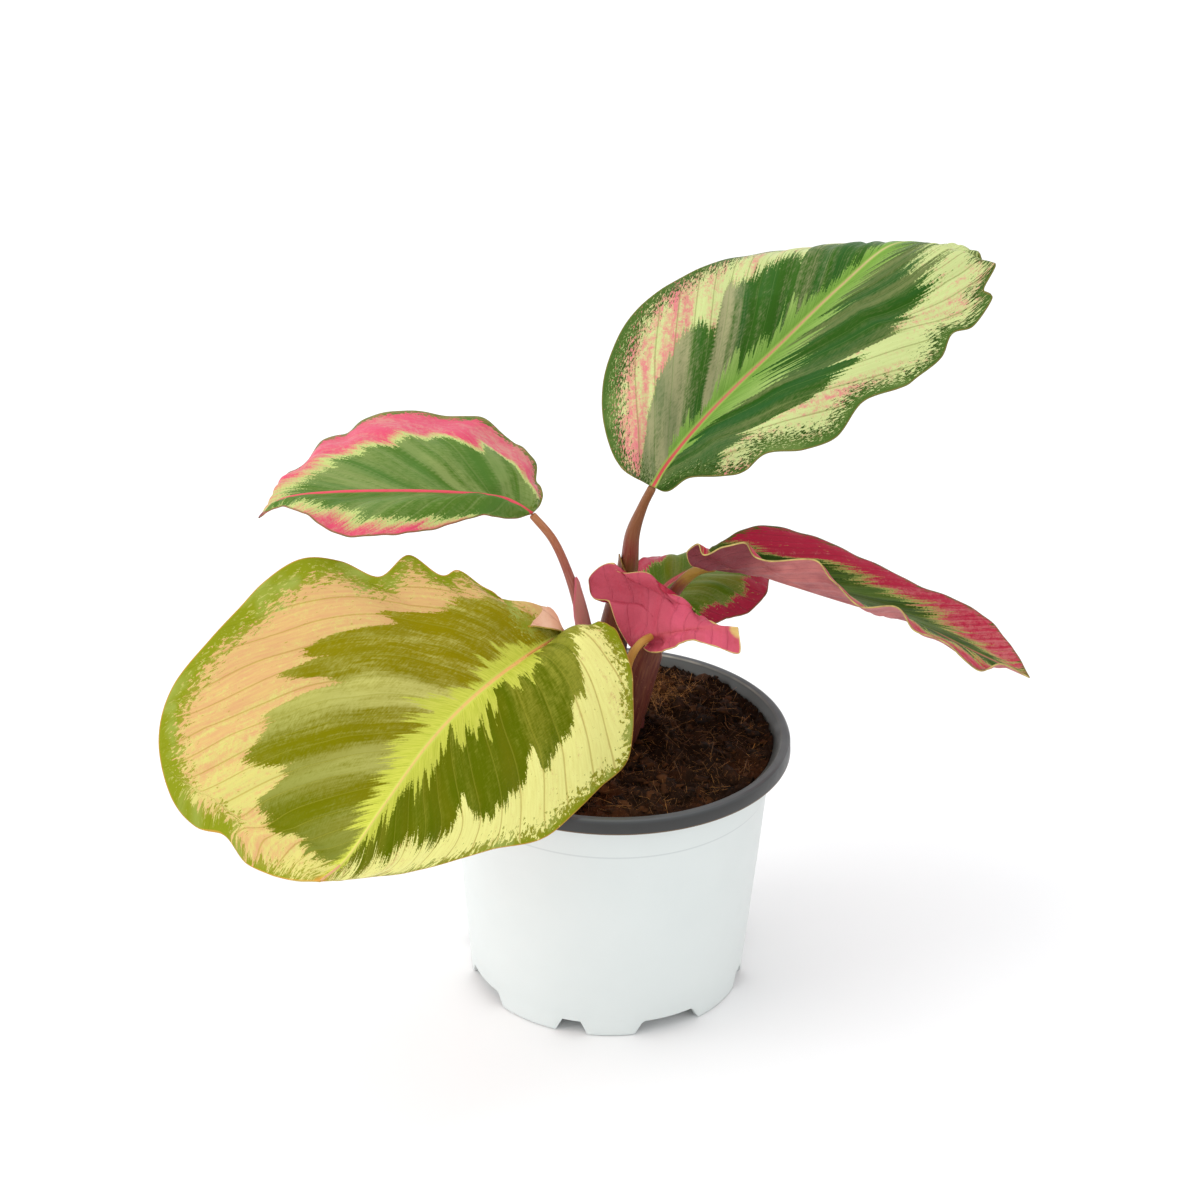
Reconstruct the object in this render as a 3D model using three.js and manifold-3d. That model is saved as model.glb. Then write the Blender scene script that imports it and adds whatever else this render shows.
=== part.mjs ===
// A calathea in its nursery pot, in millimetres with +Z up. The origin is on the ground under the
// pot's axis, and -Y is the front. The pot is one thin formed shell with a rolled lip and a notched
// foot ring. It holds the potting soil, the soil holds the rhizome, and each leaf stalk stands in a
// socket of the rhizome and carries one blade.
import * as THREE from "three";
import { ParametricGeometry } from "three/addons/geometries/ParametricGeometry.js";
import { mergeVertices } from "three/addons/utils/BufferGeometryUtils.js";
import Module from "manifold-3d";

const wasm = await Module();
wasm.setup();

// ---- driving dimensions ----
const GAP = 0.3; // between pieces that touch

const POT_HEIGHT = 91;
const LIP_RADIUS = 60; // outside of the rolled lip
const LIP_HEIGHT = 4.9;
const MOUTH_RADIUS = 56.3; // inner edge of the lip
const NECK_RADIUS = 53.8; // body just under the lip
const SHOULDER_Z = 73.5; // faint step round the body
const SHOULDER_RADIUS = 53;
const FOOT_RADIUS = 46.7;
const FOOT_HEIGHT = 6;
const WALL = 0.9;
const INSIDE_LOW = FOOT_RADIUS + 0.4 - WALL; // inner radius 1 mm above the floor
const INSIDE_HIGH = SHOULDER_RADIUS - 0.2 - WALL; // inner radius just under the shoulder
const INSIDE_NECK = SHOULDER_RADIUS + 0.3 - WALL; // inner radius just over the shoulder
const FOOT_WALL = 1.8; // two layers pressed together
const CENTRE_FOOT_RADIUS = 8; // dimple in the floor that reaches the ground
const POT_SIDES = 56;

const NOTCH_HEIGHT = 4.9;
const NARROW_NOTCH = { centre: -14.2, bottom: 10.2, top: 7 }; // degrees from the front, widths in mm
const WIDE_NOTCH = { centre: 27, bottom: 24.4, top: 18.5 };
const DRAIN_RADIUS = 3.5;
const DRAIN_RING = 36; // how far the drain holes lie from the axis

const SOIL_LEVEL = 86;
const SOIL_EDGE_DROP = 1.5; // the surface is a little lower along the wall
const SOIL_SIDES = 36;
const SOIL_TOP_RINGS = 9;
const RHIZOME = { centre: [0, 0, 65], radii: [16, 15, 8] };

const BLADE_THICKNESS = 0.7;
const BLADE_SIDES = 24; // round the section of a blade, over both faces
const STALK_SIDES = 10;
const STALK_STEPS = 26;

// ---- the leaves ----
// Each blade is lofted over three guide lines from the stalk to the tip: its midrib and its left and
// right margins, seen along the leaf with the upper face up. Their points are in mm. rise says how far
// the middle of the left and right half stands above the straight line from midrib to margin, at even
// steps along the leaf. sweep draws the side veins back towards the stalk in each half. fold rolls a
// stretch of one half over. A stalk has its route and its girth, which is half its width at even steps.
const leaves = [
  {
    name: "upper_right",
    colour: "#3f6b35",
    stalkColour: "#8a5a4c",
    steps: 22,
    midrib: [
      [11.5, 5, 178], [17.5, 11, 186], [31.5, 24, 198.5], [51, 37, 214],
      [71, 48, 231], [89, 57, 243.5], [106, 76, 235], [122, 98, 212],
    ],
    left: [
      [11.5, 5, 178], [1.5, 10, 182], [-3.5, 16, 190], [-5.5, 25, 199.5], [-3.5, 33, 210.5],
      [4, 43, 222.5], [19, 54, 231], [40, 66, 235], [72, 88, 229], [100, 102, 219], [122, 98, 212],
    ],
    right: [
      [11.5, 5, 178], [16.5, 4, 177], [23.5, 4, 182], [34.5, 4, 183], [41.5, 5, 184.5],
      [48, 6, 190.5], [60, 8, 191], [70, 9, 195], [78.5, 14, 205.5], [90, 16, 209.5],
      [95.5, 18, 212.5], [103.5, 21, 218.5], [106.5, 24, 225.5], [113.5, 26, 227.5],
      [119.5, 31, 235.5], [117, 34, 237], [121, 40, 243.6], [117.2, 43.5, 242.2],
      [116, 48, 245], [117, 66, 232], [120, 84, 220], [122, 98, 212],
    ],
    rise: [[0, 0], [4, 2], [6, 3], [5, 3], [2, 2], [0, 1], [0, 0]],
    sweep: [14, 16],
    rib: 1.5,
    stalk: [
      [1, 8, 68], [-0.5, 8, 97.5], [-0.5, 9, 118], [1.5, 10, 132], [4.5, 12, 145], [5.5, 11, 158],
      [8.5, 8, 169.5], [11.5, 5, 178],
    ],
    girth: [3.2, 4.3, 4.5, 4, 3.1, 2.4, 1.6, 1.4],
  },
  {
    name: "lower_left",
    colour: "#a3a145",
    stalkColour: "#a8794a",
    steps: 22,
    midrib: [
      [-14.5, -15, 134.5], [-25, -31, 136.5], [-41.5, -57, 135.5], [-55, -81, 131.5],
      [-67.5, -105, 123], [-77.5, -122, 114.5], [-85, -131, 111.5],
    ],
    left: [
      [-14.5, -15, 134.5], [-7, -13, 137], [-2.5, -13, 137.5], [2.5, -17, 133.5], [6.5, -24, 121],
      [5.5, -35, 100.5], [-3.5, -48, 96.5], [-20, -72, 92.5], [-37, -88, 97], [-57.5, -101, 97.5],
      [-75, -113, 101.5], [-85, -131, 111.5],
    ],
    right: [
      [-14.5, -15, 134.5], [-19, -23, 140], [-25, -27, 143], [-30.5, -30, 145.5], [-36.5, -27, 153],
      [-42, -26, 156.5], [-49.5, -28, 163], [-55, -32, 163], [-65, -30, 169], [-74, -38, 165],
      [-86, -36, 169.5], [-98, -42, 172.5], [-109, -48, 167], [-117, -52, 159], [-124.5, -60, 153],
      [-135.5, -66, 140], [-139, -76, 126.5], [-134.5, -87, 113.5], [-126.5, -92, 105.5],
      [-117, -98, 106.5], [-109.5, -104, 100], [-97.5, -117, 103.5], [-85, -131, 111.5],
    ],
    rise: [[0, 0], [2, 3], [4, 5], [6, 6], [6, 6], [4, 4], [0, 0]],
    sweep: [10, 14],
    fold: { side: "right", at: 0.12, length: 0.075, by: [0, 8, 4.5] },
    rib: 1.5,
    stalk: [[-6, -8, 68], [-6, -9, 100], [-8, -11, 120], [-10.5, -12, 129.5], [-14.5, -15, 134.5]],
    girth: [3, 3.2, 2.6, 1.9, 1.6],
  },
  {
    name: "upper_left",
    colour: "#4c7340",
    stalkColour: "#9a5b50",
    steps: 18,
    midrib: [
      [-27.5, 6, 167], [-37.5, 2, 173.5], [-53.5, -4, 178], [-72, -9, 180.5], [-91, -13, 181.5],
      [-105, -17, 181], [-113, -20, 176],
    ],
    left: [
      [-27.5, 6, 167], [-33.5, -2, 169], [-43.5, -14, 175.5], [-57, -24, 175.5], [-70.5, -31, 176.5],
      [-86, -34, 177.5], [-97, -30, 182.5], [-106, -22, 181], [-113, -20, 176],
    ],
    right: [
      [-27.5, 6, 167], [-24.5, 10, 169], [-24.5, 16, 171.5], [-26.5, 20, 173], [-26.5, 25, 176.5],
      [-31, 30, 179.5], [-36.5, 33, 182], [-45.5, 37, 187.5], [-56.5, 38, 187], [-70.5, 38, 189],
      [-83, 35, 187], [-89.5, 29, 184], [-97, 25, 183], [-102, 14, 179], [-107, 8, 178.5],
      [-109.5, -8, 176.5], [-113, -20, 176],
    ],
    rise: [[0, 0], [3, 3], [5, 5], [5, 6], [4, 5], [3, 3], [0, 0]],
    sweep: [6, 6],
    rib: 1.2,
    stalk: [
      [-7, 3, 68], [-6.9, 3.7, 100], [-8.2, 4, 116.5], [-11, 4, 132.5], [-15.5, 4, 147.5],
      [-20.5, 5, 158.5], [-27.5, 6, 167],
    ],
    girth: [2.8, 2.9, 2.5, 2, 1.5, 1.4, 1.25],
  },
  {
    name: "centre_curled",
    colour: "#b0455a",
    stalkColour: "#b98a3c",
    steps: 18,
    midrib: [
      [12.5, -8, 130.5], [16.5, -11, 133], [21.5, -15, 136], [27.5, -19, 139], [34, -23, 142],
      [39.5, -26, 143.5],
    ],
    left: [
      [12.5, -8, 130.5], [10, -8, 126], [13.5, -14, 127.5], [19, -18, 131.5], [24.5, -22, 136.5],
      [32.5, -27, 137], [40, -30, 136.5], [39.5, -26, 143.5],
    ],
    right: [
      [12.5, -8, 130.5], [6.5, -6, 125], [1.5, -4, 131.5], [-2, -1, 139], [-7, 3, 138.5],
      [-8.5, 6, 143.5], [-5.5, 6, 148], [-1, 5, 150.5], [2, 3, 148], [10.5, 0, 149.5],
      [15.5, -3, 144.5], [22, -6, 143.5], [27, -11, 140], [32.5, -18, 140.5], [38.5, -25, 139.5],
      [39.5, -26, 143.5],
    ],
    rise: [[0, 0], [2, 5], [-1, 6], [-1, 5], [0, 2], [0, 0]],
    sweep: [0, 0],
    rib: 0.9,
    stalk: [
      [2, -9.5, 68], [1.5, -10, 95], [4, -12, 118], [6, -13, 126], [9, -12.5, 130.5],
      [12.3, -8.8, 130.9],
    ],
    girth: [1.8, 1.9, 1.7, 1.4, 1.3, 1.2],
  },
  {
    name: "right_folded",
    colour: "#8c3a4a",
    stalkColour: "#8e5636",
    steps: 20,
    midrib: [
      [33, 3, 150.5], [42.5, 4, 149.5], [57.5, 4, 144.5], [77.5, 4, 138], [99.5, 2, 132],
      [119, -2, 124], [137, -6, 117],
    ],
    left: [
      [33, 3, 150.5], [30.5, 8, 150.5], [30.5, 14, 151], [35.5, 20, 152], [47, 28, 154],
      [64, 34, 148.5], [82.5, 35, 140], [103, 31, 131.5], [121, 22, 127.5], [131.5, 10, 121.5],
      [137, -6, 117],
    ],
    right: [
      [33, 3, 150.5], [28, 1, 151.5], [24.5, -1, 153], [23, -3, 159], [26.5, -6, 163],
      [28.5, -8, 160.5], [34, -10, 164], [41, -12, 167], [45, -13, 162], [53.5, -15, 162.5],
      [63.5, -18, 164], [69.5, -19, 157.5], [78.5, -20, 149], [89.5, -21, 150], [96, -21, 141.5],
      [104.5, -20, 138], [112.5, -17, 130], [119.5, -14, 123.5], [127, -10, 124], [137, -6, 117],
    ],
    rise: [[0, 0], [-3, -1], [-5, -1], [-5, -1], [-4, -1], [-3, -1], [0, 0]],
    sweep: [8, 5],
    rib: 1.2,
    stalk: [
      [1, -3, 68], [3.5, -1, 86.5], [7, 0, 102.5], [10.5, 2, 118], [15, 4, 130.5], [19.5, 5, 140],
      [23.5, 5, 145.5], [27.5, 4, 149], [33, 3, 150.5],
    ],
    girth: [3.2, 4, 4.8, 4.9, 2.6, 1.7, 1.4, 1.3, 1.2],
  },
  {
    name: "back",
    colour: "#56752f",
    stalkColour: "#7c4a3c",
    steps: 16,
    midrib: [
      [12.5, 20, 129.5], [18, 28, 132], [25.5, 37, 132.5], [35.5, 47, 131], [45, 58, 128],
      [51.5, 66, 124.5],
    ],
    left: [
      [12.5, 20, 129.5], [6, 26, 129.5], [4.5, 35, 131.5], [9, 43, 133.5], [15, 48, 132],
      [20.5, 52, 129.5], [26, 60, 128.5], [36, 68, 125.5], [46, 72, 124], [51.5, 66, 124.5],
    ],
    right: [
      [12.5, 20, 129.5], [16.5, 15, 125.5], [25.5, 13, 122], [34, 16, 123.5], [38.5, 19, 124],
      [45, 23, 124], [51, 31, 126.5], [52.5, 38, 127.5], [53, 51, 127], [51.5, 66, 124.5],
    ],
    rise: [[0, 0], [2, 3], [3, 4], [2, 3], [0, 0]],
    sweep: [4, 4],
    rib: 1,
    stalk: [[9, 6, 68], [9, 10, 100], [9.5, 15, 122], [12.3, 19.8, 129.3]],
    girth: [2.4, 2, 1.6, 1.3],
  },
];

// ---- helpers ----
const vector = ([x, y, z]) => new THREE.Vector3(x, y, z);
const radians = THREE.MathUtils.degToRad;
const clamp = THREE.MathUtils.clamp;

// A smooth route through a list of points.
function route(points) {
  return new THREE.CatmullRomCurve3(points.map(vector), false, "catmullrom", 0.5);
}

// A smooth run of numbers at even steps: one number, or one for each half of a leaf.
function run(values) {
  return route(values.map((value) => [value, 0, 0].flat().slice(0, 3)));
}

// A closed mesh as a solid that can be joined and cut.
function solid(geometry) {
  const bare = geometry.clone();
  bare.deleteAttribute("normal");
  bare.deleteAttribute("uv");
  const merged = mergeVertices(bare, 1e-4);
  return new wasm.Manifold(
    new wasm.Mesh({
      numProp: 3,
      vertProperties: merged.attributes.position.array,
      triVerts: new Uint32Array(merged.index.array),
    }),
  );
}

function fromSolid(body) {
  const mesh = body.getMesh();
  return new THREE.BufferGeometry()
    .setAttribute("position", new THREE.BufferAttribute(mesh.vertProperties, 3))
    .setIndex(new THREE.BufferAttribute(mesh.triVerts, 1));
}

const cut = (geometry, cutters) =>
  cutters.reduce((rest, cutter) => rest.subtract(solid(cutter)), solid(geometry));

function part(name, geometry, colour, roughness) {
  if (!geometry.attributes.normal) geometry.computeVertexNormals();
  const material = new THREE.MeshStandardMaterial({ color: colour, roughness, metalness: 0 });
  const mesh = new THREE.Mesh(geometry, material);
  mesh.name = name;
  return mesh;
}

// ---- pot ----
// The section goes up the outside from the centre foot, over the lip and down the inside.
function potSection() {
  const shell = [
    [0, 0],
    [CENTRE_FOOT_RADIUS, 0],
    [CENTRE_FOOT_RADIUS + 1, FOOT_HEIGHT - WALL],
    [FOOT_RADIUS - FOOT_WALL - 0.3, FOOT_HEIGHT - WALL],
    [FOOT_RADIUS - FOOT_WALL, 0],
    [FOOT_RADIUS, 0],
    [FOOT_RADIUS + 0.3, FOOT_HEIGHT],
    [SHOULDER_RADIUS - 0.2, SHOULDER_Z - 0.6],
    [SHOULDER_RADIUS + 0.3, SHOULDER_Z + 0.4],
    [NECK_RADIUS, POT_HEIGHT - LIP_HEIGHT - 0.6],
    [NECK_RADIUS + 1.4, POT_HEIGHT - 2.6],
    [MOUTH_RADIUS + 0.4, POT_HEIGHT - 1.2],
    [LIP_RADIUS - 1.2, POT_HEIGHT - 1.2],
    [LIP_RADIUS - 1, POT_HEIGHT - LIP_HEIGHT],
    [LIP_RADIUS, POT_HEIGHT - LIP_HEIGHT],
    [LIP_RADIUS, POT_HEIGHT - 1.2],
    [LIP_RADIUS - 0.4, POT_HEIGHT - 0.35],
    [LIP_RADIUS - 1.2, POT_HEIGHT],
    [MOUTH_RADIUS + 0.7, POT_HEIGHT],
    [MOUTH_RADIUS, POT_HEIGHT - 0.5],
    [NECK_RADIUS + 0.5, POT_HEIGHT - 2.8],
    [NECK_RADIUS - WALL, POT_HEIGHT - LIP_HEIGHT - 0.8],
    [INSIDE_NECK, SHOULDER_Z + 0.5],
    [INSIDE_HIGH, SHOULDER_Z - 0.5],
    [INSIDE_LOW, FOOT_HEIGHT + 1],
    [FOOT_RADIUS - 0.5 - WALL, FOOT_HEIGHT],
    [CENTRE_FOOT_RADIUS + 0.6, FOOT_HEIGHT],
    [CENTRE_FOOT_RADIUS - 0.8, WALL],
    [0, WALL],
  ];
  return shell.map(([r, z]) => new THREE.Vector2(r, z));
}

// A block that cuts one notch in the foot ring, wider at the ground than at its top.
function notchCutter(notch, quarter) {
  const shape = new THREE.Shape([
    new THREE.Vector2(-notch.bottom / 2, -1),
    new THREE.Vector2(notch.bottom / 2, -1),
    new THREE.Vector2(notch.top / 2, NOTCH_HEIGHT),
    new THREE.Vector2(-notch.top / 2, NOTCH_HEIGHT),
  ]);
  const reach = FOOT_RADIUS + 4;
  const halfAngle = Math.asin(notch.bottom / 2 / FOOT_RADIUS);
  const depth = reach - (FOOT_RADIUS - FOOT_WALL) * Math.cos(halfAngle) + 1;
  return new THREE.ExtrudeGeometry(shape, { depth, bevelEnabled: false })
    .rotateX(Math.PI / 2)
    .translate(0, depth - reach, 0)
    .rotateZ(radians(notch.centre + 90 * quarter));
}

function drainCutter(quarter) {
  return new THREE.CylinderGeometry(DRAIN_RADIUS, DRAIN_RADIUS, 6, 20)
    .rotateX(Math.PI / 2)
    .translate(0, -DRAIN_RING, FOOT_HEIGHT)
    .rotateZ(radians(WIDE_NOTCH.centre + 90 * quarter));
}

function potGeometry() {
  const shell = new THREE.LatheGeometry(potSection(), POT_SIDES).rotateX(Math.PI / 2);
  const cutters = [0, 1, 2, 3].flatMap((quarter) => [
    notchCutter(NARROW_NOTCH, quarter),
    notchCutter(WIDE_NOTCH, quarter),
    drainCutter(quarter),
  ]);
  return fromSolid(cut(shell, cutters));
}

// ---- stalks ----
// A stalk is a round tube along its route, closed by a rounded end at both sides. slack makes it that
// much thicker and longer, for the pocket it stands in.
function stalkGeometry(leaf, slack = 0) {
  const line = route(leaf.stalk);
  const girth = run(leaf.girth);
  const length = line.getLength();
  const front = new THREE.Vector3(0, 1, 0);
  const along = new THREE.Vector3();
  const side = new THREE.Vector3();
  const other = new THREE.Vector3();
  const centre = new THREE.Vector3();
  const inset = (GAP - slack) / length; // both ends stay clear of what they meet
  return new ParametricGeometry(
    (u, v, target) => {
      const s = inset + v * (1 - 2 * inset);
      line.getPoint(s, centre);
      line.getTangent(s, along);
      const thick = girth.getPoint(s).x;
      const cap = thick / length;
      const toEnd = Math.min(v, 1 - v) / cap;
      const round = toEnd < 1 ? Math.sqrt(1 - (1 - toEnd) ** 2) : 1;
      const radius = (thick + slack) * round;
      side.crossVectors(along, front).normalize();
      other.crossVectors(along, side);
      const angle = 2 * Math.PI * (u % 1);
      target
        .copy(centre)
        .addScaledVector(side, radius * Math.cos(angle))
        .addScaledVector(other, radius * Math.sin(angle));
    },
    STALK_SIDES,
    STALK_STEPS,
  );
}

// ---- blades ----
// The upper face of a blade: s runs from stalk to tip, t from -1 at the right margin to 1 at the left.
function bladeSurface(leaf) {
  const midrib = route(leaf.midrib);
  const left = route(leaf.left);
  const right = route(leaf.right);
  const rise = run(leaf.rise);
  const fold = leaf.fold;
  return (s, t) => {
    const onLeft = t >= 0;
    const reach = Math.abs(t);
    const middle = midrib.getPoint(s);
    const margin = (onLeft ? left : right).getPoint(s);
    const along = midrib.getTangent(s);
    const across = margin.clone().sub(middle);
    const up = along.clone().cross(across).normalize();
    if (!onLeft) up.negate();
    const arch = Math.sin(Math.PI * reach) ** 2;
    const height = onLeft ? rise.getPoint(s).x : rise.getPoint(s).y;
    const sweep = leaf.sweep[onLeft ? 0 : 1] * Math.sin(Math.PI * s);
    const point = middle
      .addScaledVector(across, reach)
      .addScaledVector(up, height * arch)
      .addScaledVector(along, -0.5 * sweep * arch);
    if (fold && (fold.side === "left") === onLeft) {
      const here = Math.exp(-(((s - fold.at) / fold.length) ** 2)) * clamp(s / fold.length, 0, 1);
      point.addScaledVector(vector(fold.by), here * arch);
    }
    return point;
  };
}

// The blade as a closed solid: round its edge, thinning to nothing at margins, tip and stalk, with
// the midrib standing out underneath.
function bladeGeometry(leaf) {
  const surface = bladeSurface(leaf);
  const step = 0.004;
  const normal = (s, t) => {
    const before = surface(clamp(s - step, 0, 1), t);
    const after = surface(clamp(s + step, 0, 1), t);
    const oneSide = surface(s, clamp(t - step, -1, 1));
    const otherSide = surface(s, clamp(t + step, -1, 1));
    return after.sub(before).cross(otherSide.sub(oneSide)).normalize();
  };
  return new ParametricGeometry(
    (u, v, target) => {
      const round = u % 1;
      const t = Math.abs(4 * round - 2) - 1;
      const upper = round < 0.5;
      const point = surface(v, t);
      const ends = Math.sqrt(clamp(12 * v * (1 - v), 0, 1));
      const half = (BLADE_THICKNESS / 2) * Math.sqrt(Math.max(0, 1 - t ** 4));
      const fromMidrib = point.distanceTo(surface(v, 0));
      const ribSize = leaf.rib * (1 - 0.8 * v);
      const rib = Math.abs(t) < 1 ? ribSize * Math.exp(-((fromMidrib / ribSize) ** 2)) : 0;
      const out = (upper ? half : -half - rib) * ends;
      target.copy(point).addScaledVector(normal(clamp(v, step, 1 - step), t), out);
    },
    BLADE_SIDES,
    leaf.steps,
  );
}

// ---- soil and rhizome ----
// Lumps of the soil's surface, in mm.
function lumps(x, y) {
  const broad = Math.sin(x / 9 + 0.8) * Math.cos(y / 8 - 0.4);
  const fine = Math.sin(x / 3.7 - y / 5.1) * Math.cos(y / 3.3 + x / 6.2);
  return 0.9 * broad + 0.8 * fine;
}

function soilGeometry() {
  const floor = FOOT_HEIGHT + GAP;
  const edge = SOIL_LEVEL - SOIL_EDGE_DROP;
  const facets = 0.1; // the wall's flat facets stand in this far
  const topRadius = INSIDE_NECK - GAP - facets;
  const rows = [
    [0, floor],
    [INSIDE_LOW - 2, floor],
    [INSIDE_LOW - GAP - facets, FOOT_HEIGHT + 1.5],
    [INSIDE_HIGH - GAP - facets, SHOULDER_Z - 0.5],
    [topRadius, SHOULDER_Z + 1],
    [topRadius, edge - 1],
  ];
  const sides = rows.length;
  for (let ring = 0; ring <= SOIL_TOP_RINGS; ring += 1) {
    rows.push([topRadius * (1 - ring / SOIL_TOP_RINGS), edge]);
  }
  return new ParametricGeometry(
    (u, v, target) => {
      const row = v * (rows.length - 1);
      const below = Math.min(Math.floor(row), rows.length - 2);
      const share = row - below;
      const radius = rows[below][0] * (1 - share) + rows[below + 1][0] * share;
      let z = rows[below][1] * (1 - share) + rows[below + 1][1] * share;
      const angle = 2 * Math.PI * (u % 1);
      const x = radius * Math.cos(angle);
      const y = radius * Math.sin(angle);
      if (row >= sides) {
        const inward = 1 - (radius / topRadius) ** 4;
        z += inward * SOIL_EDGE_DROP + Math.sqrt(Math.max(inward, 0)) * lumps(x, y);
      }
      target.set(x, y, z);
    },
    SOIL_SIDES,
    rows.length - 1,
  );
}

function rhizomeGeometry(slack = 0) {
  const [a, b, c] = RHIZOME.radii;
  return new THREE.SphereGeometry(1, 20, 12)
    .rotateX(Math.PI / 2)
    .scale(a + slack, b + slack, c + slack)
    .translate(...RHIZOME.centre);
}

// ---- the plant in its pot ----
const plant = new THREE.Group();
const pockets = leaves.map((leaf) => stalkGeometry(leaf, GAP));
plant.add(part("nursery_pot", potGeometry(), "#e8eeea", 0.45));
const soil = fromSolid(cut(soilGeometry(), [...pockets, rhizomeGeometry(GAP)]));
plant.add(part("potting_soil", soil, "#3a2419", 0.95));
plant.add(part("rhizome", fromSolid(cut(rhizomeGeometry(), pockets)), "#7a5a3c", 0.8));
for (const leaf of leaves) {
  plant.add(part(`stalk_${leaf.name}`, stalkGeometry(leaf), leaf.stalkColour, 0.5));
  plant.add(part(`leaf_${leaf.name}`, bladeGeometry(leaf), leaf.colour, 0.4));
}

export default plant;
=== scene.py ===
# %% [markdown]
# # A potted calathea
# A young calathea grows in a white nursery pot with a dark rolled lip. The plant is a root stock in
# the soil, six stalks and six patterned blades. The imported model has the true sizes and places. Here
# every visible piece gets its looks: thin blades with a feathered pattern, satin stalks, crumbly
# soil with fibres, and smooth formed plastic. We first load the imported model.

# %% Load the imported model
import math
import random

import bpy
import numpy as np
from mathutils import Matrix, Vector, noise


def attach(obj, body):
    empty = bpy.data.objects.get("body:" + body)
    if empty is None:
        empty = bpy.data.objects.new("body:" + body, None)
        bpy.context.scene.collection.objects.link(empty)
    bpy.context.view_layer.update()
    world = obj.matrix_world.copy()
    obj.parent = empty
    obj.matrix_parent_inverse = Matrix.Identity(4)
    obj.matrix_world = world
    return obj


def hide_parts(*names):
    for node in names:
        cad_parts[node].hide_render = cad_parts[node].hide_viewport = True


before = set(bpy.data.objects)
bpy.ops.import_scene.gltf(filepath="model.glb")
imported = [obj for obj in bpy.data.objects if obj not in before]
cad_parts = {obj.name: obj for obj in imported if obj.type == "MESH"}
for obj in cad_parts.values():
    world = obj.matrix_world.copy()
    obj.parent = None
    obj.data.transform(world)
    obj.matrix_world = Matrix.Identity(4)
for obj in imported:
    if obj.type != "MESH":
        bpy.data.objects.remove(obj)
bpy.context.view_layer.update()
MM = 0.001

# %% [markdown]
# An operator in Blender acts on everything that is selected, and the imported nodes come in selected.
# One small helper keeps that in hand: it clears the selection and picks a single piece. Others name
# a new piece, apply a modifier, move the points of a mesh, keep a number at each point for the
# materials, merge doubles and turn the faces outwards. Every piece below is finished with them.

# %% Helpers for picking and finishing pieces
def pick(piece=None):
    """Selects one piece, or none, in object mode."""
    if bpy.context.mode != "OBJECT":
        bpy.ops.object.mode_set(mode="OBJECT")
    bpy.ops.object.select_all(action="DESELECT")
    if piece is not None:
        piece.select_set(True)
        bpy.context.view_layer.objects.active = piece


def added(name):
    """Names the piece that an operator has just added."""
    piece = bpy.context.active_object
    piece.name = name
    piece.data.name = name
    return piece


def apply_modifier(piece, kind, **settings):
    """Adds a modifier, sets it and applies it, as by hand."""
    pick(piece)
    modifier = piece.modifiers.new(kind.title(), kind)
    for key, value in settings.items():
        setattr(modifier, key, value)
    bpy.ops.object.modifier_apply(modifier=modifier.name)


def place_points(piece, points):
    """Lays a mesh's points at the given places, in metres."""
    piece.data.vertices.foreach_set("co", np.asarray(points, np.float32).ravel())
    piece.data.update()


def read_points(piece):
    """The places of a mesh's points, one row each, in metres."""
    points = np.zeros(len(piece.data.vertices) * 3, np.float32)
    piece.data.vertices.foreach_get("co", points)
    return points.reshape(-1, 3).astype(float)


def write_field(piece, name, values):
    """Keeps one number for each point of a mesh, for a material to read."""
    field = piece.data.attributes.new(name, "FLOAT", "POINT")
    field.data.foreach_set("value", np.asarray(values, np.float32))


def edit_all_of(piece):
    """Opens a piece in edit mode with all of it selected."""
    pick(piece)
    bpy.ops.object.mode_set(mode="EDIT")
    bpy.ops.mesh.select_all(action="SELECT")


def close_mesh(piece, distance=0.01 * MM):
    """Merges points that lie on each other, so that seams and ends are closed."""
    edit_all_of(piece)
    bpy.ops.mesh.remove_doubles(threshold=distance)
    bpy.ops.object.mode_set(mode="OBJECT")


def face_outwards(piece):
    """Turns all faces of a closed piece outwards."""
    edit_all_of(piece)
    bpy.ops.mesh.normals_make_consistent(inside=False)
    bpy.ops.object.mode_set(mode="OBJECT")


def smooth(piece):
    pick(piece)
    bpy.ops.object.shade_smooth()


pick()
print("packed nodes:", len(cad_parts))

# %% [markdown]
# The camera stands where the photographer stood: about 98 cm from the plant, looking down by almost
# 27 degrees, with a long lens. It is also turned a little about its own axis. Three directions
# say all that: to the right, up, and forwards.

# %% Camera
LOOK_DOWN = math.radians(26.841)
ROLL = math.radians(1.157)
CAMERA_PLACE = Vector((-4.723, -875.210, 582.161)) * MM
SENSOR_WIDTH = 36
LENS = 90
NEAREST_SEEN = 0.05

level_right = Vector((1, 0, 0))
level_up = Vector((0, math.sin(LOOK_DOWN), math.cos(LOOK_DOWN)))
forward = Vector((0, math.cos(LOOK_DOWN), -math.sin(LOOK_DOWN)))
view_right = math.cos(ROLL) * level_right + math.sin(ROLL) * level_up
view_up = -math.sin(ROLL) * level_right + math.cos(ROLL) * level_up

bpy.ops.object.camera_add()
camera = added("camera")
camera.data.sensor_width = SENSOR_WIDTH
camera.data.lens = LENS
camera.data.clip_start = NEAREST_SEEN
camera.matrix_world = Matrix.Translation(CAMERA_PLACE) @ Matrix(
    (view_right, view_up, -forward)
).transposed().to_4x4()
bpy.context.scene.camera = camera
print("camera at", [round(c, 3) for c in camera.location])

# %% [markdown]
# Finishes are node materials. This small class writes them as a list of steps: every method adds one
# node and hands back its output, and any input may be a number, a colour or the output of another
# step. edge, fade and line_at make masks, and over lays a second colour on the first through such a
# mask. Colours are given as a paint chart gives them, from 0 to 255, and turned into light values.

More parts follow.
